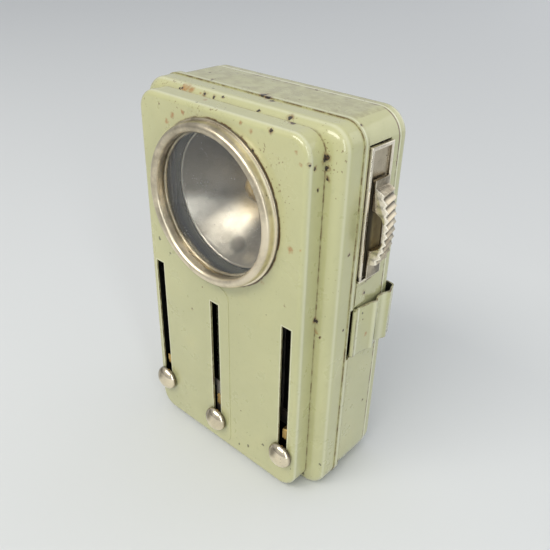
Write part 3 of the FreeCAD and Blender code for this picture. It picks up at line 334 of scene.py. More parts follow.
COVER_CHIPS = (
    (-18.3, 4.4, 112.6, 0.6), (2.5, 3.6, 112.6, 1.2), (8.5, 16.4, 112.6, 0.8), (34.95, 7.5, 65.9, 0.8),
    (-24.0, 9.0, 112.6, 0.5), (34.9, 14.0, 24.0, 0.5), (20.0, 21.8, 30.0, 0.9), (-12.0, 21.8, 88.0, 0.7),
    (-34.9, 12.0, 74.0, 0.8),
)
# rust that has bled through the enamel, in the same measure
BOX_RUST = (
    (25.7, -12.3, 82.8, 1.1), (16.7, -12.3, 69.6, 0.7), (9.0, -12.3, 110.2, 0.6), (28.8, -12.3, 83.4, 0.5),
    (12.3, -12.3, 109.0, 0.7), (26.3, -12.3, 107.4, 0.6), (27.6, -12.3, 104.9, 0.5),
    (-15.7, -12.3, 106.7, 0.9), (-18.3, -12.3, 104.5, 0.8), (-11.7, -12.3, 108.3, 0.8),
    (-7.7, -7.9, 111.4, 0.8),
)
SHELL_RUST = (
    (-18.6, -4.8, 112.0, 1.9), (-16.2, -4.9, 111.8, 1.2), (-12.6, -5.0, 111.7, 0.5), (30.6, -5.9, 57.6, 0.7),
)
CATCH_CHIPS, CATCH_RUST = ((36.0, 7.4, 57.6, 0.3),), ((36.4, 9.0, 52.0, 0.8),)


def make_enamel(finish, name, chips, rust, dirt, light, bare):
    """Glossy sage enamel with its own chips and rust; dirt draws a mask for its dirt and for painted shade,
    light one for painted highlights, and bare one for where it was never painted and for painted shade,
    nearly black."""
    w = Weave(name)
    paint = finish.enamel
    tone = w.span(w.noise(26, 3), 0.32, 0.68)
    base = w.blend(tone, scaled(paint, 0.95), scaled(paint, 1.05))
    base = w.blend(w.both(w.span(w.noise(55, 4, 0.6), 0.5, 0.75), 0.35), base, (0.52, 0.49, 0.24))
    base = w.blend(w.both(w.span(w.noise(480, 4, 0.65), 0.52, 0.8), 0.28), base, scaled(paint, 0.72))
    ragged = w.warped(900, 0.0016)
    pits, stains = [], []
    for x, y, z, reach in chips:
        away = w.from_point(x, y, z, ragged)
        pits.append(w.span(away, reach * 0.55 * finish.wear, reach * 0.8 * finish.wear, 1, 0))
        stains.append(w.span(away, reach * 0.6 * finish.wear, reach * 1.7 * finish.wear, 1, 0))
    bled = [w.span(w.from_point(x, y, z, ragged), reach * 0.3, reach * 1.2, 1, 0) for x, y, z, reach in rust]
    few = w.span(w.noise(42, 2), 0.5, 0.7, 0.015, 0.15 * finish.wear)
    pits.append(w.both(w.under(w.cells(230, ragged), few), 0.7))
    crowd = w.span(w.noise(95, 3), 0.42, 0.66, 0.0, 0.26 * finish.wear)
    fine = w.both(crowd, w.span(w.z, 80, 106, 0.4, 1.0))
    specks = w.both(w.under(w.cells(950, ragged), fine), 0.6)
    stain = w.both(w.most(*stains), w.span(w.noise(700, 4, 0.7), 0.35, 0.62), 0.8)
    pit = w.most(*pits)
    grime = w.both(dirt(w), w.span(w.noise(330, 4, 0.7), 0.38, 0.62, 0.12, 1.0))
    # dirt, and painted shade where a dirt mask stands for it, darken the enamel to rust brown
    base = w.blend(w.both(grime, 0.85), base, scaled(finish.rust, 0.55))
    # painted highlights: the light masks lay a pale colour where the gloss would catch the light
    base = w.blend(w.both(light(w), 0.65), base, (0.73, 0.73, 0.54))
    base = w.blend(specks, base, scaled(finish.rust, 0.7))
    base = w.blend(stain, base, finish.rust)
    if bled:
        orange = w.blend(w.noise(300), (0.50, 0.24, 0.06), scaled(finish.rust, 0.8))
        base = w.blend(w.both(w.most(*bled), w.span(w.noise(500, 4, 0.7), 0.25, 0.52), 0.9), base, orange)
    steel = w.blend(w.span(w.noise(1500, 3), 0.5, 0.7), finish.chip, scaled(finish.rust, 0.5))
    base = w.blend(pit, base, steel)
    # painted shade: the bare masks turn shaded insides nearly black, and olive just behind the lens
    away = w.most(w.span(w.round_lens(), 21, 24), w.over(w.y, PARTING))
    bare_and_shade_colour = w.blend(away, (0.15, 0.145, 0.095), (0.012, 0.012, 0.011))  # olive just behind the lens
    base = w.blend(bare(w), base, bare_and_shade_colour)
    peel = w.bump(w.noise(650, 3), 0.000035)
    dents = w.bump(w.noise(75, 2), 0.00016, peel)
    return w.set(
        base_color=base,
        roughness=w.math("ADD", w.span(w.noise(150, 4), 0.3, 0.7, 0.26, 0.4), w.both(pit, 0.45)),
        normal=w.bump(w.less(1.0, pit), 0.00007, dents),
        coat_weight=0.9,
        coat_roughness=0.07,
    )


def box_outline(w):
    """Millimetres outside the filter box, as seen from the front."""
    return w.outline((BOX_LOW.x, BOX_LOW.z), (BOX_HIGH.x, BOX_HIGH.z), BOX_CORNER)


def box_dirt_and_shade(w):
    """Dirt and painted shade on the filter box: dirt and a painted shadow round the bezel, darkest on its
    right, darkening round the knobs' feet, dirt in its seam and a dark line round the slots' mouths.
    """
    # painted shadow with dirt: a dark ring round the bezel, weighted towards its right side
    ring = w.both(w.near(w.round_lens(), BEZEL_RADIUS, 0.5), w.span(w.x, LENS_X - 10, LENS_X + 8, 1.0, 2.5))
    seam = w.near(w.y, BOX_BACK, 0.45)
    spots = [w.span(w.from_point(x, BOX_FACE, z + 1.2), 2.5, 4.6, 0.55, 0) for x, z, _ in SLOTS]
    mouths = [slot_edge(w, x, z, top, -0.05, 0.12) for x, z, top in SLOTS]
    return w.most(ring, seam, *spots, *mouths)


def slot_edge(w, x, low, high, start, width):
    """A line that runs round a slot's mouth."""
    away = w.outline((x - SLOT_HALF, low), (x + SLOT_HALF, high), 0.05)
    return w.both(w.near(away, start + width / 2, width), w.under(w.y, BOX_FACE + 0.4))


def box_painted_highlight(w):
    """Painted highlights on the box: pale lines along the slots and a pale band on its rounded outer edge,
    where the gloss would catch the light.
    """
    lines = [slot_edge(w, x, z, top, 0.1, 0.28) for x, z, top in SLOTS]
    corner = w.both(w.span(box_outline(w), -1.0, -0.35), w.near(w.y, BOX_FACE + 1.2, 0.8))
    return w.most(*lines, w.both(corner, 0.7))


def shell_dirt(w):
    """Dirt along the foot of the box and along the rolled rim."""
    foot = w.both(w.near(box_outline(w), 0.0, 0.5), w.near(w.y, BOX_BACK, 0.6))
    return w.most(foot, w.near(w.y, PARTING - 1.75, 0.22), w.both(w.near(w.y, PARTING, 0.3), cleaner_top(w)))


def cleaner_top(w):
    """Less of a mask on the lamp's top, where dirt is wiped off."""
    return w.span(w.z, COVER_HIGH.z - 1.6, COVER_HIGH.z - 0.2, 1.0, 0.4)


def shell_painted_highlight(w):
    """Painted highlights: a pale line on the rolled rim's ridge, and a pale band on the rounded front edge
    where the gloss would catch the light.
    """
    away = w.outline((SHELL_LOW.x, SHELL_LOW.z), (SHELL_HIGH.x, SHELL_HIGH.z), SHELL_CORNER)
    corner = w.both(w.span(away, -1.1, -0.4), w.near(w.y, SHELL_LOW.y + 2.1, 0.85))
    return w.most(w.near(w.y, PARTING - 0.9, 0.4), w.both(corner, 0.65))


def shell_painted_shade(w):
    """Painted shade: the shell's face inside the filter box, made nearly black for the shade there."""
    return w.both(w.under(box_outline(w), -0.6), w.under(w.y, BOX_BACK + 0.7))


def box_painted_shade(w):
    """Painted shade: the inside of the filter box, made nearly black for the shade there."""
    away = box_outline(w)
    behind = w.both(w.under(away, -0.75), w.over(w.y, BOX_FACE + 0.45))
    walls = w.both(w.under(away, -0.3), w.over(w.y, BOX_FACE + 1.9))
    return w.most(behind, walls)


def inside_bare(w):
    """The dark inside of the cover, which follows its rounded back edge."""
    away = w.outline((SHELL_LOW.x + 1.05, COVER_LOW.z), (SHELL_HIGH.x - 1.05, COVER_HIGH.z), 6.6)
    side = w.math("MAXIMUM", w.math("ADD", away, COVER_ROUND), 0.0)
    back = w.math("MAXIMUM", w.less(w.y, COVER_HIGH.y - COVER_ROUND), 0.0)
    return w.under(w.slant(side, back), COVER_ROUND - 0.25)


def cover_dirt_and_shade(w):
    """Dirt along the cover's parting line; a painted shade line in its step and a painted shadow under the
    switch; a dark line at the catch's notch and a darker top.
    """
    parting = w.both(w.near(w.y, PARTING + 0.2, 0.45), cleaner_top(w))
    # painted shade: a dark line in the cover's step
    step = w.both(w.near(w.y, COVER_STEP, 0.4), 1.8)
    notch = w.both(w.near(w.z, LEAF_LOW.z - 0.25, 0.4), w.near(w.y, PARTING + 1.0, 1.6))
    # painted shadow under the switch channel
    below = w.both(w.near(w.z, CHANNEL_LOW.z - 1.2, 0.6),
                   w.span(w.y, CHANNEL_HIGH.y - 1.0, CHANNEL_HIGH.y + 0.4, 1.2, 0.0),
                   w.over(w.x, SHELL_HIGH.x - 5.3))
    top = w.both(w.over(w.z, COVER_HIGH.z - 0.4), 0.35)
    return w.most(parting, step, notch, below, top)


def cover_painted_highlight(w):
    """Painted highlight: a pale ridge behind the cover's step."""
    return w.both(w.near(w.y, COVER_STEP + 0.7, 0.6), 1.4)


def teeth_dirt(w):
    """Grime in the valleys of the thumb piece's teeth and in patches on its plate."""
    root = SLIDER_LOW.x + 1.5
    phase = w.math("DIVIDE", w.less(w.z, SLIDER_LOW.z + TEETH_START), TOOTH_PITCH)
    valley = w.near(w.math("FRACT", w.math("ADD", phase, 0.5)), 0.5, 0.34)
    teeth = w.both(valley, w.over(w.x, root))
    plate = w.both(w.under(w.x, root), w.span(w.noise(330, 4, 0.65), 0.35, 0.65, 0.3, 0.75))
    return w.most(teeth, plate)


def teeth_painted_highlight(w):
    """Painted highlights: a bright zigzag along the teeth's front ends, and on the plate's front edge."""
    low, face = SLIDER_LOW, SLIDER_LOW.x + SLIDER_PLATE
    along = w.math("DIVIDE", w.less(w.z, low.z + TEETH_START), TEETH * TOOTH_PITCH)
    hump = w.math("POWER", w.math("SINE", w.math("MULTIPLY", along, math.pi)), 0.45)
    saw = w.math("ABSOLUTE", w.less(w.math("FRACT", w.math("MULTIPLY", along, TEETH)), 0.5))
    tip = w.less(w.math("MULTIPLY", hump, ARCH_RISE), w.math("MULTIPLY", saw, 1.6))
    depth = w.less(w.math("ADD", tip, face + 0.8), w.x)
    on_arch = w.both(w.over(along, 0.02), w.under(along, 0.98))
    ends = w.both(w.span(depth, 0.45, 0.75, 1, 0), on_arch, w.span(w.y, low.y + 0.15, low.y + 0.45, 1, 0))
    edge = w.both(w.near(w.y, low.y + 0.1, 0.2), w.over(w.x, face - 0.1), 0.8)
    return w.most(ends, edge)


def channel_painted_highlight(w):
    """Painted highlights: the channel's crests, its front wall and its bottom lip made pale."""
    low = CHANNEL_LOW
    crest = w.both(w.near(w.x, CHANNEL_HIGH.x, 0.35), w.span(w.noise(260, 3), 0.3, 0.55, 0.5, 0.85))
    front = w.both(w.under(w.y, low.y + 0.3), w.span(w.z, low.z + 1, low.z + 2.6, 0, 0.6))
    lip = w.both(w.under(w.z, low.z + 0.5), w.over(w.x, low.x + 0.6), 0.8)
    return w.most(crest, front, lip)


def channel_shade(w):
    """The dark corner at the foot of the channel's front wall."""
    foot = w.span(w.from_point(CHANNEL_HIGH.x - 0.6, CHANNEL_LOW.y, CHANNEL_LOW.z + 0.4), 0.9, 2.2, 1, 0)
    return w.both(foot, w.over(w.z, CHANNEL_LOW.z + 0.45))


def carrier_painted_shade(w):
    """Painted shade: near black along the front of the switch's carrier, under the channel's wall."""
    front = depths("switch_carrier")[0]
    return w.span(w.y, front + 0.6, front + 2.6, 0.95, 0.1)


def bezel_dirt_and_shade(w):
    """Brown dirt on the bezel's upper part, and on its left where it is also painted shade that dulls the
    glare; and a painted shadow at the foot of its flange, darkest on the right.
    """
    upper = w.span(w.z, LENS_Z + 4, LENS_Z + 20, 0.0, 0.5)
    # on the left this is also painted shade, dulling the glare there
    left = w.span(w.x, LENS_X - 19, LENS_X - 12, 0.45, 0.0)
    patchy = w.span(w.noise(190, 4, 0.6), 0.3, 0.62, 0.15, 1.0)
    # painted shadow at the foot of the flange, darkest on the right
    foot = w.span(w.round_lens(), BEZEL_RADIUS - 0.25, BEZEL_RADIUS - 0.03, 0.0, 0.9)
    right = w.span(w.x, LENS_X - 8, LENS_X + 8, 0.3, 1.0)
    return w.most(w.both(w.most(upper, left), patchy), w.both(foot, right))


def bezel_painted_highlight(w):
    """Painted highlight: the flange's right side made bright."""
    flange = w.near(w.round_lens(), BEZEL_RADIUS - 0.7, 0.6)
    behind_bead = w.span(w.y, BOX_FACE - 1.6, BOX_FACE - 1.0)
    return w.both(flange, behind_bead, w.span(w.x, LENS_X + 4, LENS_X + 12, 0.0, 0.9))


def knob_dirt_and_shade(w):
    """Dark smudges on the knobs' upper left, and a black band round their edges as painted shade."""
    smudges = [w.span(w.from_point(x - 2.2, BOX_FACE - 2.4, z + 3.6), 1.2, 3.3, 0.8, 0)
               for x, z, _ in SLOTS]
    back = depths("filter_knob_left")[0] + KNOB_DEPTH
    # painted shade: a black band round the knobs' rims, where the domes turn away
    edge = w.span(w.y, back - 1.5, back - 0.5, 0, 0.9)
    return w.most(edge, w.both(w.most(*smudges), w.span(w.noise(420, 4, 0.6), 0.3, 0.55, 0.35, 1.0)))


def bowl_painted_reflection_and_stain(w):
    """The reflector's upper half painted dark, standing in for the dim room it reflects, and a stain near
    its bottom.
    """
    wavering = w.math("ADD", w.z, w.both(w.noise(60, 3), 6.0))
    # painted reflection: the upper half darkened for the dim room it would mirror
    upper = w.span(wavering, LENS_Z - 5, LENS_Z - 0.5, 0.0, 0.72)
    stain = w.span(w.from_point(-2.6, -1.2, 69.5, w.warped(150, 0.006)), 1.2, 3.4, 0.55, 0.0)
    return w.most(upper, stain)


def bowl_painted_golden_reflection(w):
    """Painted reflection: a golden tint round the reflector's neck, where the brass socket would be
    mirrored.
    """
    return w.both(w.span(w.round_lens(), 6.5, 13.5, 0.8, 0.0), w.span(w.noise(90, 3), 0.25, 0.6, 0.6, 1.0))


def bowl_painted_highlight(w):
    """Painted highlights: a bright line on the reflector's rolled rim and a bright patch near its bottom."""
    spot = w.span(w.from_point(3.6, -3.2, 68.4, w.warped(150, 0.004)), 1.0, 3.2, 0.45, 0.0)
    return w.most(w.both(w.near(w.round_lens(), 19.75, 0.45), 0.9), spot)


def leaf_dirt(w):
    """Dirt along the spring leaf's top and bottom edges and behind its rolled nose."""
    edges = w.most(w.near(w.z, LEAF_HIGH.z, 0.5), w.near(w.z, LEAF_LOW.z, 0.4))
    return w.most(edges, w.near(w.y, LEAF_LOW.y + 1.25, 0.35))


def leaf_painted_shade(w):
    """Painted shade: the inside of the spring leaf, which its mesh marks, nearly black for the shade in the
    hollow behind it.
    """
    inside = w.node("ShaderNodeAttribute", attribute_name="inside")
    return w.both(inside.outputs["Fac"], w.over(w.y, LEAF_LOW.y + 2.0))


def leaf_painted_highlight(w):
    """Painted highlights: pale ridges on the spring leaf, on its rolled nose and its two waves."""
    nose = w.near(w.y, LEAF_LOW.y + 2.1, 0.6)
    waves = w.most(w.near(w.y, LEAF_LOW.y + 8.2, 1.0), w.near(w.y, LEAF_LOW.y + 13.4, 1.5))
    return w.most(nose, w.both(waves, 0.7))


def make_metal(name, tint, low, high, tarnish, share, lines=(600, 600, 60),
               dirt=None, light=None, golden_reflection=None):
    """Plated or bare metal, with dull patches, fine scratches and pits; dirt darkens it with real dirt and
    with painted shade and dark reflections, light lays painted highlights, and golden_reflection a painted
    golden reflection.
    """
    w = Weave(name)
    dull = w.noise(130, 5, 0.65)
    fine = w.noise(1400, 4, 0.7)
    scratch = w.noise(1.0, 3, 0.6, w.stretch(lines, (0.2, 0.4, 0.1)))
    base = w.blend(w.span(dull, 0.35, 0.7), scaled(tint, 1.04), scaled(tint, 0.82))
    base = w.blend(w.both(w.span(dull, 0.5, 0.78), share), base, tarnish)
    pits = w.under(w.cells(800), w.span(w.noise(200, 2), 0.5, 0.75, 0.0, 0.2))
    base = w.blend(w.both(pits, 0.7), base, scaled(tarnish, 0.25))
    if golden_reflection:
        # painted reflection: a golden tint
        base = w.blend(golden_reflection(w), base, (0.56, 0.40, 0.17))
    if dirt:
        # dirt and painted shade: near black
        base = w.blend(w.both(dirt(w), 0.9), base, (0.05, 0.038, 0.024))
    if light:
        # painted highlights: pale where the light masks say
        base = w.blend(w.both(light(w), 0.95), base, (1.0, 0.93, 0.78))
    return w.set(
        base_color=base,
        metallic=1.0,
        roughness=w.span(w.math("ADD", dull, w.both(scratch, 0.4)), 0.45, 1.0, low, high),
        normal=w.bump(w.math("ADD", scratch, w.both(fine, 0.6)), 0.000018),
    )


def make_glass(name, tint, roughness=0.02):
    """Glass with a few droplets of dirt on it."""
    w = Weave(name)
    dust = w.under(w.cells(1100), w.span(w.noise(170, 2), 0.45, 0.7, 0.0, 0.16))
    return w.set(
        base_color=w.blend(w.both(dust, 0.5), tint, scaled(tint, 0.35)),
        transmission_weight=1.0,
        ior=1.45,
        roughness=w.math("ADD", w.both(dust, 0.4), roughness),
    )


def make_dull(name, tint, shade, scale=500, roughness=0.85, dirt=None):
    """Card, fibre and pitch: a grain with no gloss; dirt draws a mask for where it is nearly black, as
    painted shade.
    """
    w = Weave(name)
    grain = w.noise(scale, 5, 0.6)
    base = w.blend(w.span(grain, 0.3, 0.7), tint, shade)
    if dirt:
        base = w.blend(dirt(w), base, scaled(tint, 0.1))
    return w.set(
        base_color=base,
        roughness=w.span(grain, 0.2, 0.8, roughness - 0.1, min(1.0, roughness + 0.05)),
        normal=w.bump(grain, 0.00015),
    )


def dress(material, *names):
    """Gives a finish to CAD nodes."""
    for name in names:
        mesh = NODES[name].data
        mesh.materials.clear()
        mesh.materials.append(material)


# ---------------------------------------------------------------- modelling by hand


def begin(add, name, **settings):
    """Adds a primitive by itself and opens it with all of it selected."""
    bpy.ops.object.select_all(action="DESELECT")
    add(**settings)
    piece = bpy.context.object
    piece.name = piece.data.name = name
    bpy.ops.object.mode_set(mode="EDIT")
    bpy.ops.mesh.select_all(action="SELECT")
    return piece


def only(piece):
    """Selects one piece alone and makes it the active one."""
    bpy.ops.object.select_all(action="DESELECT")
    piece.select_set(True)
    bpy.context.view_layer.objects.active = piece


def modified(piece, kind, **settings):
    """Adds a modifier and applies it."""
    only(piece)
    made = piece.modifiers.new(kind.title(), kind)
    for key, value in settings.items():
        setattr(made, key, value)
    bpy.ops.object.modifier_apply(modifier=made.name)


def rounded(piece, width, segments=2):
    modified(piece, "BEVEL", width=width, segments=segments, limit_method="ANGLE",
             angle_limit=math.radians(32))


def close_up():
    """Merges doubles and turns all faces outwards; leaves edit mode."""
    bpy.ops.mesh.select_all(action="SELECT")
    bpy.ops.mesh.remove_doubles(threshold=1e-6)
    bpy.ops.mesh.normals_make_consistent(inside=False)
    bpy.ops.object.mode_set(mode="OBJECT")


def settle(piece, body, material, slot, *nodes, angle=35):
    """Puts a finished piece's place into its mesh, gives it its body and finish, and hides the CAD nodes it
    stands for.
    """
    only(piece)
    bpy.ops.object.transform_apply(location=True, rotation=True, scale=True)
    bpy.ops.object.shade_smooth_by_angle(angle=math.radians(angle))
    piece.data.materials.clear()
    piece.data.materials.append(bpy.data.materials[material])
    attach(piece, body)
    if nodes:
        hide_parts(*nodes)


def select_verts(piece, chosen):
    """In edit mode, selects the vertices whose place in the world answers chosen(place)."""
    bpy.ops.mesh.select_all(action="DESELECT")
    bpy.ops.object.mode_set(mode="OBJECT")
    for vertex in piece.data.vertices:
        vertex.select = chosen(piece.matrix_world @ vertex.co)
    bpy.ops.object.mode_set(mode="EDIT")


def turned(name, x, z, rings, solid=False, segments=None):
    """Turns a round piece about a line along Y: each ring is a radius and a depth in millimetres."""
    radius, depth = rings[0]
    piece = begin(
        bpy.ops.mesh.primitive_circle_add, name, radius=radius * MM,
        vertices=segments or bpy.context.scene.lamp_shape.segments, fill_type="NGON" if solid else "NOTHING",
        location=(x * MM, depth * MM, z * MM), rotation=(math.radians(90), 0, 0),
    )
    for (before, back), (radius, depth) in zip(rings, rings[1:]):
        bpy.ops.mesh.extrude_region_move(TRANSFORM_OT_translate={"value": (0, (depth - back) * MM, 0)})
        share = radius / before
        bpy.ops.transform.resize(value=(share, 1, share), center_override=(x * MM, depth * MM, z * MM))
    close_up()
    return piece


def arc(radius, depth, across, out, start, end, steps):
    """Rings along part of an ellipse, by angle from the outward radius towards the lamp's front."""
    rings = []
    for k in range(steps + 1):
        turn = math.radians(start + (end - start) * k / steps)
        rings.append((radius + across * math.cos(turn), depth - out * math.sin(turn)))
    return rings


def smooth_run(points, parts):
    """A smooth line through some points, with each stretch between two of them in so many parts."""
    fine = []
    for a, b, c, d in zip(points[:1] + points, points, points[1:], points[2:] + points[-1:]):
        for part in range(parts):
            t = part / parts
            fine.append(0.5 * (2 * b + (c - a) * t + (2 * a - 5 * b + 4 * c - d) * t * t
                               + (3 * b - a - 3 * c + d) * t * t * t))
    return fine + points[-1:]


def block(name, low, high):
    """A cuboid between two corners in millimetres, open in edit mode."""
    low, high = Vector(low) * MM, Vector(high) * MM
    piece = begin(bpy.ops.mesh.primitive_cube_add, name, size=1, location=(low + high) / 2)
    bpy.ops.transform.resize(value=high - low, center_override=(low + high) / 2)
    return piece


def joined(name, *pieces):
    """One piece of several."""
    only(pieces[0])
    for piece in pieces[1:]:
        piece.select_set(True)
    bpy.ops.object.join()
    pieces[0].name = pieces[0].data.name = name
    return pieces[0]


def softened(node, name, width, segments=2):
    """A copy of a CAD node's mesh, merged, with its sharp edges rounded."""
    piece = bpy.data.objects.new(name, NODES[node].data.copy())
    bpy.context.scene.collection.objects.link(piece)
    only(piece)
    bpy.ops.object.mode_set(mode="EDIT")
    bpy.ops.mesh.select_all(action="SELECT")
    bpy.ops.mesh.remove_doubles(threshold=1e-6)
    bpy.ops.mesh.dissolve_limited(angle_limit=math.radians(1))
    bpy.ops.object.mode_set(mode="OBJECT")
    rounded(piece, width, segments)
    return piece


# ---------------------------------------------------------------- operators, one for each group


class LAMP_OT_case(bpy.types.Operator):
    """Finish the enamelled case: shell, filter box, rear cover and hinge leaves."""

    bl_idname = "lamp.case"
    bl_label = "Case"

    def execute(self, context):
        finish = context.scene.lamp_finish
        box = make_enamel(finish, "enamel_box", BOX_CHIPS, BOX_RUST, box_dirt_and_shade, box_painted_highlight, box_painted_shade)
        dress(box, "filter_box")
        shell = make_enamel(finish, "enamel_shell", SHELL_CHIPS, SHELL_RUST,
                            shell_dirt, shell_painted_highlight, shell_painted_shade)
        dress(shell, "front_shell", "hinge_leaf_shell")
        cover = make_enamel(finish, "enamel_cover", COVER_CHIPS, (), cover_dirt_and_shade, cover_painted_highlight, inside_bare)
        dress(cover, "rear_cover", "hinge_leaf_cover")
        return {"FINISHED"}


class LAMP_OT_metal(bpy.types.Operator):
    """Make the metals' finishes and give them to the pieces inside."""

    bl_idname = "lamp.metal"
    bl_label = "Metal pieces"

    def execute(self, context):
        finish = context.scene.lamp_finish
        tarnish, along = finish.tarnish, (900, 900, 120)
        nickel = make_metal("nickel", finish.nickel, 0.28, 0.44, tarnish, 0.45, dirt=bezel_dirt_and_shade,
                            light=bezel_painted_highlight)
        dress(nickel, "key_pin")
        make_metal("nickel_polished", scaled(finish.nickel, 1.12), 0.1, 0.26, tarnish, 0.2, dirt=knob_dirt_and_shade)
        make_metal("nickel_worn", scaled(finish.nickel, 0.6), 0.24, 0.42, tarnish, 0.7, along,
                   channel_shade, channel_painted_highlight)
        make_metal("nickel_toothed", scaled(finish.nickel, 0.8), 0.18, 0.34, tarnish, 0.8, along,
                   teeth_dirt, teeth_painted_highlight)
        make_metal("silvered", finish.silver, 0.34, 0.5, (0.34, 0.27, 0.17), 0.3, (300, 300, 300),
                   bowl_painted_reflection_and_stain, bowl_painted_highlight, bowl_painted_golden_reflection)
        steel = make_metal("bare_steel", finish.steel, 0.35, 0.6, scaled(finish.rust, 0.8), 0.5)
        dark = make_metal("steel_dark", scaled(finish.steel, 0.3), 0.45, 0.7, finish.rust, 0.6)
        dress(dark, "catch_striker")
        dress(steel, "filter_frame_left", "filter_frame_middle", "filter_frame_right",
              "filter_guide_left", "filter_guide_right", "lamp_shelf", "switch_bracket", "hinge_pin")
        brass = make_metal("brass", finish.brass, 0.22, 0.5, (0.20, 0.12, 0.05), 0.6)
        dress(brass, "bulb_socket", "bulb_base", "bulb_contact_strip", "contact_rivets",
              "battery_terminal_short", "battery_terminal_long", "key_contact_strip")
        return {"FINISHED"}


class LAMP_OT_lens(bpy.types.Operator):
    """Turn the bezel, the ring behind the glass, the reflector and the bulb."""

    bl_idname = "lamp.lens"
    bl_label = "Lens and reflector"

    def execute(self, context):
        dress(make_glass("clear_glass", (0.97, 0.97, 0.95)), "lens_glass")
        self.bezel()
        self.retaining_ring()
        self.reflector()
        self.bulb()
        return {"FINISHED"}

    @staticmethod
    def bezel():
        front, sleeve = depths("bezel_ring")
        outer, face, bead = BEZEL_RADIUS, front + 3.8, 1.3
        window = outer - 0.6 - 2 * bead
        crest = front + bead
        rings = [(window, face - 1.25)]
        rings += arc(window + bead, crest, bead, bead, 180, 20, 18)
        rings += [(outer - 0.62, crest + 0.7), (outer - 0.64, face - 1.05), (outer - 0.5, face - 0.72)]
        rings += [(outer - 0.2, face - 0.68), (outer - 0.05, face - 0.5), (outer, face - 0.25)]
        rings += [(outer, face), (window + 1.4, face), (window + 1.4, sleeve)]
        rings += [(window + 0.95, sleeve), (window + 0.95, face - 1.25), rings[0]]
        settle(turned("bezel", LENS_X, LENS_Z, rings), "front_case", "nickel", "nickel", "bezel_ring")

    @staticmethod
    def retaining_ring():
        node = "lens_retaining_ring"
        (front, back), outer = depths(node), radius_of(node)
        depth = (front + back) / 2
        rings = [(outer, back), (outer, front)]
        rings += arc(outer - 0.95, depth, 0.45, depth - front, 90, 270, 10)
        rings += [(outer, back)]
        settle(turned("glass_ring", LENS_X, LENS_Z, rings), "front_case", "nickel", "nickel", node)

    @staticmethod
    def reflector():
        (front, back), outer = depths("reflector"), radius_of("reflector")
        rim, neck, deep, gauge, steps = 19.3, 5.4, 15.5, 0.4, 36
        bowl = []
        for k in range(steps + 1):
            radius = neck + (rim - neck) * k / steps
            bowl.append((radius, front + deep * (1 - (radius / rim) ** 2)))
        roll = [(19.42, front - 0.3), (19.62, front - 0.46), (19.86, front - 0.5), (20.08, front - 0.38),
                (20.18, front - 0.1), (20.3, front + 0.02), (outer, front + 0.02), (outer, front + gauge)]
        outside = [(radius + gauge, depth + gauge) for radius, depth in bowl[::-1][1:]]
        rings = [(neck, back)] + bowl + roll + outside + [(neck + gauge, back), (neck, back)]
        piece = turned("reflector_bowl", LENS_X, LENS_Z, rings)
        settle(piece, "front_case", "silvered", "silvered", "reflector", angle=50)

    @staticmethod
    def bulb():
        (front, back), radius = depths("bulb_glass"), radius_of("bulb_glass")
        centre = front + radius
        rings = [(3.5, back), (3.5, back - 0.5)]
        rings += arc(0.0, centre, radius, radius, -46, 84, 18)
        rings += [(0.28, front + 0.005)]
        glass = turned("bulb_envelope", LENS_X, LENS_Z, rings, True, 48)
        settle(glass, "front_case", "clear_glass", "clear_glass", "bulb_glass", angle=60)
        wires = []
        for shift in (-1.1, 1.1):
            rings = [(0.16, back), (0.16, centre + 0.4), (0.22, centre + 0.1), (0.1, centre)]
            wires.append(turned(f"wire{shift}", LENS_X + shift, LENS_Z, rings, True, 10))
        for k in range(8):  # the coil between the two wires
            bpy.ops.object.select_all(action="DESELECT")
            bpy.ops.mesh.primitive_torus_add(
                major_radius=0.24 * MM, minor_radius=0.07 * MM, major_segments=12, minor_segments=6,
                location=((LENS_X - 0.94 + k * 0.27) * MM, (centre + 0.2) * MM, LENS_Z * MM),
                rotation=(0, math.radians(78), 0))
            wires.append(bpy.context.object)
        settle(joined("bulb_filament", *wires), "front_case", "bare_steel", "bare_steel")


class LAMP_OT_filters(bpy.types.Operator):
    """Turn the three knobs, crumple the lugs above them and colour the panes."""

    bl_idname = "lamp.filters"
    bl_label = "Sliding filters"

    def execute(self, context):
        dress(make_glass("red_pane", (0.60, 0.04, 0.03), 0.08), "filter_pane_left")
        dress(make_glass("green_pane", (0.04, 0.35, 0.10), 0.08), "filter_pane_middle")
        dress(make_glass("blue_pane", (0.04, 0.12, 0.45), 0.08), "filter_pane_right")
        for seed, side in enumerate(SIDES):
            self.knob(side)
            self.lug(side, seed)
        return {"FINISHED"}

    @staticmethod
    def knob(side):
        node = "filter_knob_" + side
        (front, end), radius = depths(node), radius_of(node)
        x, z, back = middle(node).x, middle(node).z, front + KNOB_DEPTH
        rings = [(1.0, back - 0.1), (radius - 0.45, back), (radius - 0.12, back - 0.1)]
        rings += arc(0.0, back - 0.4, radius, 2.6, 0, 86, 16)
        dome = turned("dome_" + side, x, z, rings, True, 64)
        shank = block("shank_" + side, (x - 1.0, back - 0.3, z - 1.3), (x + 1.0, end, z + 1.3))
        bpy.ops.mesh.bevel(offset=0.15 * MM, segments=2, affect="EDGES")
        bpy.ops.object.mode_set(mode="OBJECT")
        piece = joined("knob_" + side, dome, shank)
        settle(piece, "filter_" + side, "nickel_polished", "nickel", node, angle=40)

    @staticmethod
    def lug(side, seed):
        node = "filter_lug_" + side
        low, high = corners(node)
        margin = Vector((0.15, 0.1, 0.15))  # room for the crumples
        piece = block("lug_" + side, low + margin, high - margin)
        bpy.ops.mesh.subdivide(number_cuts=5)
        bpy.ops.transform.vertex_random(offset=0.28 * MM, seed=seed + 4)
        bpy.ops.object.mode_set(mode="OBJECT")
        modified(piece, "SUBSURF", levels=1, render_levels=1)
        settle(piece, "filter_" + side, "brass", "brass", node, angle=50)


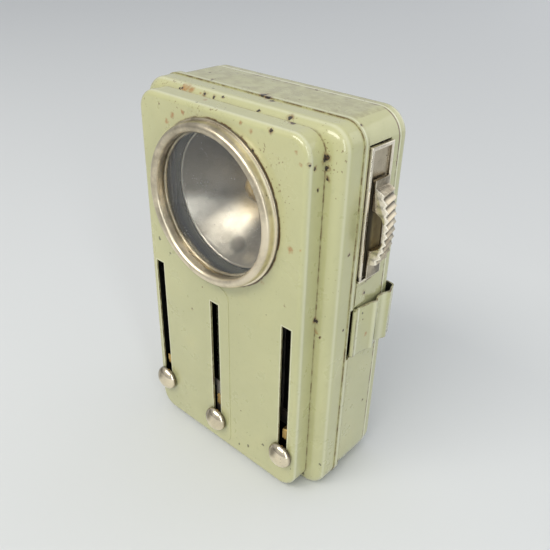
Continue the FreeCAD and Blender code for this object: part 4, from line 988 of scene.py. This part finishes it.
class LAMP_OT_switch(bpy.types.Operator):
    """Round the switch channel's edges and the toothed thumb piece."""

    bl_idname = "lamp.switch"
    bl_label = "Switch and key"

    def execute(self, context):
        channel = softened("switch_channel", "channel_tray", 0.2 * MM, 3)
        settle(channel, "front_case", "nickel_worn", "nickel", "switch_channel")
        thumb = softened("thumb_piece", "thumb_lever", 0.07 * MM, 2)
        settle(thumb, "thumb_piece", "nickel_toothed", "nickel", "thumb_piece", angle=40)
        return {"FINISHED"}


class LAMP_OT_catch(bpy.types.Operator):
    """Fold the spring catch from one strip, with its rolled nose, and dome its rivets."""

    bl_idname = "lamp.catch"
    bl_label = "Spring catch"

    def execute(self, context):
        make_enamel(context.scene.lamp_finish, "enamel_catch", CATCH_CHIPS, CATCH_RUST,
                    leaf_dirt, leaf_painted_highlight, leaf_painted_shade)
        self.leaf(context.scene.lamp_shape)
        self.rivets()
        return {"FINISHED"}

    @staticmethod
    def leaf(shape):
        low, high = LEAF_LOW, LEAF_HIGH
        nose, back = low.y + 0.3, high.y
        side, end = high.x - 1.5, low.x  # beside the case, and where the leaf ends on the cover's back
        runs = [(side - 0.85, nose + 1.0), (side - 0.95, nose + 0.45), (side - 0.6, nose + 0.05),
                (side - 0.15, nose + 0.1), (side + 0.12, nose + 0.7), (side + 0.1, nose + 1.5),
                (side + 0.12, nose + 2.6), (side + 0.3, nose + 4.4), (side + 0.85, nose + 7.1),
                (side + 1.42, nose + 8.3), (side + 0.6, nose + 10.2), (side + 0.25, nose + 11.9),
                (side + 0.9, nose + 14.1), (side + 1.28, nose + 15.3), (side + 0.6, nose + 17.0),
                (side - 0.3, back - 0.65), (side - 3.0, back - 0.12), (side - 7.0, back),
                (end + 6, back), (end, back)]
        fine = smooth_run([Vector(run) for run in runs], 4)
        piece = begin(bpy.ops.mesh.primitive_plane_add, "catch_leaf", size=1,
                      location=(fine[0].x * MM, fine[0].y * MM, (low.z + high.z) / 2 * MM))
        bpy.ops.transform.resize(value=(0, 0, 0))
        bpy.ops.mesh.merge(type="CENTER")
        bpy.ops.transform.translate(value=(0, 0, (low.z - high.z) / 2 * MM))
        bpy.ops.mesh.extrude_region_move(TRANSFORM_OT_translate={"value": (0, 0, (high.z - low.z) * MM)})
        bpy.ops.mesh.select_all(action="SELECT")
        for here, there in zip(fine, fine[1:]):
            step = (there - here) * MM
            bpy.ops.mesh.extrude_region_move(TRANSFORM_OT_translate={"value": (step.x, step.y, 0)})
        for height, inset in ((low.z, 0.5), (high.z, -0.5)):  # the nose is a little less tall than the leaf
            select_verts(piece, lambda place: (place.y < (nose + 0.5) * MM
                                               and abs(place.z - height * MM) < 1e-6))
            bpy.ops.transform.translate(value=(0, 0, inset * MM))
        close_up()
        modified(piece, "SOLIDIFY", thickness=shape.sheet, offset=-1)
        only(piece)
        bpy.ops.object.mode_set(mode="EDIT")
        close_up()
        rounded(piece, 0.1 * MM)
        # marks the faces turned towards the case, which the enamel makes nearly black as painted shade
        inside = piece.data.attributes.new("inside", "FLOAT", "FACE")
        for face, mark in zip(piece.data.polygons, inside.data):
            mark.value = 1.0 if face.normal.x + face.normal.y < -0.5 else 0.0
        settle(piece, "spring_catch", "enamel_catch", "enamel", "spring_catch", angle=40)

    @staticmethod
    def rivets():
        low, high = corners("catch_rivets")
        x = (low.x + high.x) / 2
        pieces = []
        for z in (low.z + 1.8, high.z - 1.8):
            rings = [(1.7, low.y), (1.8, low.y + 0.1), (1.8, low.y + 0.7), (1.0, low.y + 0.7),
                     (1.0, high.y - 0.7), (1.8, high.y - 0.7), (1.75, high.y - 0.4), (1.4, high.y - 0.15),
                     (0.9, high.y - 0.04), (0.3, high.y)]
            pieces.append(turned("rivet", x, z, rings, True, 32))
        settle(joined("rivet_pair", *pieces), "spring_catch", "nickel", "nickel", "catch_rivets", angle=40)


class LAMP_OT_insulation(bpy.types.Operator):
    """Finish the card, the fibre board and the pitch."""

    bl_idname = "lamp.insulation"
    bl_label = "Card, fibre and pitch"

    def execute(self, context):
        card = make_dull("card", (0.36, 0.26, 0.15), (0.28, 0.19, 0.10))
        dress(card, "battery_case", "cover_lining")
        fibre = make_dull("fibre", (0.16, 0.07, 0.04), (0.11, 0.045, 0.03))
        dress(fibre, "insulating_board", "contact_block")
        yellowed = make_dull("dark_fibre", (0.26, 0.20, 0.09), (0.34, 0.27, 0.13), dirt=carrier_painted_shade)
        dress(yellowed, "switch_carrier")
        pitch = make_dull("pitch", (0.02, 0.018, 0.016), (0.035, 0.03, 0.028), 200, 0.5)
        dress(pitch, "battery_seal")
        return {"FINISHED"}


class LAMP_OT_studio(bpy.types.Operator):
    """Set the floor, the light and the camera."""

    bl_idname = "lamp.studio"
    bl_label = "Studio"

    def execute(self, context):
        studio = context.scene.lamp_studio
        bpy.ops.object.select_all(action="DESELECT")
        bpy.ops.mesh.primitive_plane_add(size=12, location=(0, 0, 0))
        floor = context.object
        floor.name = "floor"
        floor.data.materials.append(Weave("floor").set(base_color=(0.66, 0.675, 0.69), roughness=0.6))

        world = bpy.data.worlds.new("soft_room")
        context.scene.world = world
        world.use_nodes = True
        self.sky(world.node_tree, studio.sky)
        self.lamp(context, "key", (-0.02, -0.56, 0.74), (0.8, 0.3), studio.key, (1.0, 0.97, 0.87))
        self.lamp(context, "side", (0.72, -0.36, 0.30), (0.12, 0.9), studio.side, (0.93, 0.98, 1.0))
        self.lamp(context, "back", (0.3, 1.25, 0.45), (1.3, 0.9), studio.back, (1.0, 1.0, 1.0))

        camera = bpy.data.cameras.new("camera")
        holder = bpy.data.objects.new("camera", camera)
        context.scene.collection.objects.link(holder)
        camera.sensor_width = 36
        camera.lens = studio.lens
        camera.clip_start, camera.clip_end = 0.01, 50
        azimuth, lift, roll = (math.radians(angle) for angle in (41.328, 30.74, 1.448))
        run = math.cos(lift)
        back = Vector((math.sin(azimuth) * run, -math.cos(azimuth) * run, math.sin(lift)))
        level = Vector((math.cos(azimuth), math.sin(azimuth), 0))
        rise = back.cross(level)
        right = level * math.cos(roll) + rise * math.sin(roll)
        up = rise * math.cos(roll) - level * math.sin(roll)
        turn = Matrix((right, up, back)).transposed().to_4x4()
        stand = (0.112118, -0.115827, 0.155863)
        holder.matrix_world = Matrix.Translation(stand) @ turn
        context.scene.camera = holder
        context.scene.view_settings.view_transform = "Standard"
        return {"FINISHED"}

    @staticmethod
    def sky(tree, strength):
        """Soft light from all round, dim at the walls and bright overhead."""
        sky = tree.nodes["Background"]
        sky.inputs["Color"].default_value = (0.96, 0.98, 1.0, 1)
        direction = tree.nodes.new("ShaderNodeTexCoord")
        parts = tree.nodes.new("ShaderNodeSeparateXYZ")
        rise = tree.nodes.new("ShaderNodeMapRange")
        rise.inputs["From Min"].default_value = 0.05
        rise.inputs["From Max"].default_value = 0.85
        rise.inputs["To Min"].default_value = 0.5 * strength
        rise.inputs["To Max"].default_value = 0.76 * strength
        tree.links.new(direction.outputs["Generated"], parts.inputs[0])
        tree.links.new(parts.outputs["Z"], rise.inputs["Value"])
        tree.links.new(rise.outputs[0], sky.inputs["Strength"])

    @staticmethod
    def lamp(context, name, place, size, power, tint):
        light = bpy.data.lights.new(name, "AREA")
        light.shape = "RECTANGLE"
        light.size, light.size_y = size
        light.energy = power
        light.color = tint
        holder = bpy.data.objects.new(name, light)
        context.scene.collection.objects.link(holder)
        holder.location = place
        aim = Vector((0, 0.005, 0.06)) - Vector(place)
        holder.rotation_euler = aim.to_track_quat("-Z", "Y").to_euler()


class LAMP_PT_panel(bpy.types.Panel):
    """Every step of the lamp's dressing, and what it reads."""

    bl_idname = "LAMP_PT_panel"
    bl_label = "Morse signal lamp"
    bl_space_type = "VIEW_3D"
    bl_region_type = "UI"
    bl_category = "Signal Lamp"

    def draw(self, context):
        scene = context.scene
        for group in (scene.lamp_finish, scene.lamp_shape, scene.lamp_studio):
            for name in type(group).__annotations__:
                self.layout.prop(group, name)
        for operator in OPERATORS:
            self.layout.operator(operator.bl_idname)


OPERATORS = (LAMP_OT_case, LAMP_OT_metal, LAMP_OT_lens, LAMP_OT_filters, LAMP_OT_switch, LAMP_OT_catch,
             LAMP_OT_insulation, LAMP_OT_studio)
CLASSES = (LampFinish, LampShape, LampStudio, *OPERATORS, LAMP_PT_panel)


def register():
    for cls in CLASSES:
        bpy.utils.register_class(cls)
    bpy.types.Scene.lamp_finish = PointerProperty(type=LampFinish)
    bpy.types.Scene.lamp_shape = PointerProperty(type=LampShape)
    bpy.types.Scene.lamp_studio = PointerProperty(type=LampStudio)


def unregister():
    del bpy.types.Scene.lamp_finish, bpy.types.Scene.lamp_shape, bpy.types.Scene.lamp_studio
    for cls in reversed(CLASSES):
        bpy.utils.unregister_class(cls)


def main():
    register()
    for operator in OPERATORS:
        group, name = operator.bl_idname.split(".")
        getattr(getattr(bpy.ops, group), name)()
    bpy.context.view_layer.update()


if __name__ == "__main__":
    main()
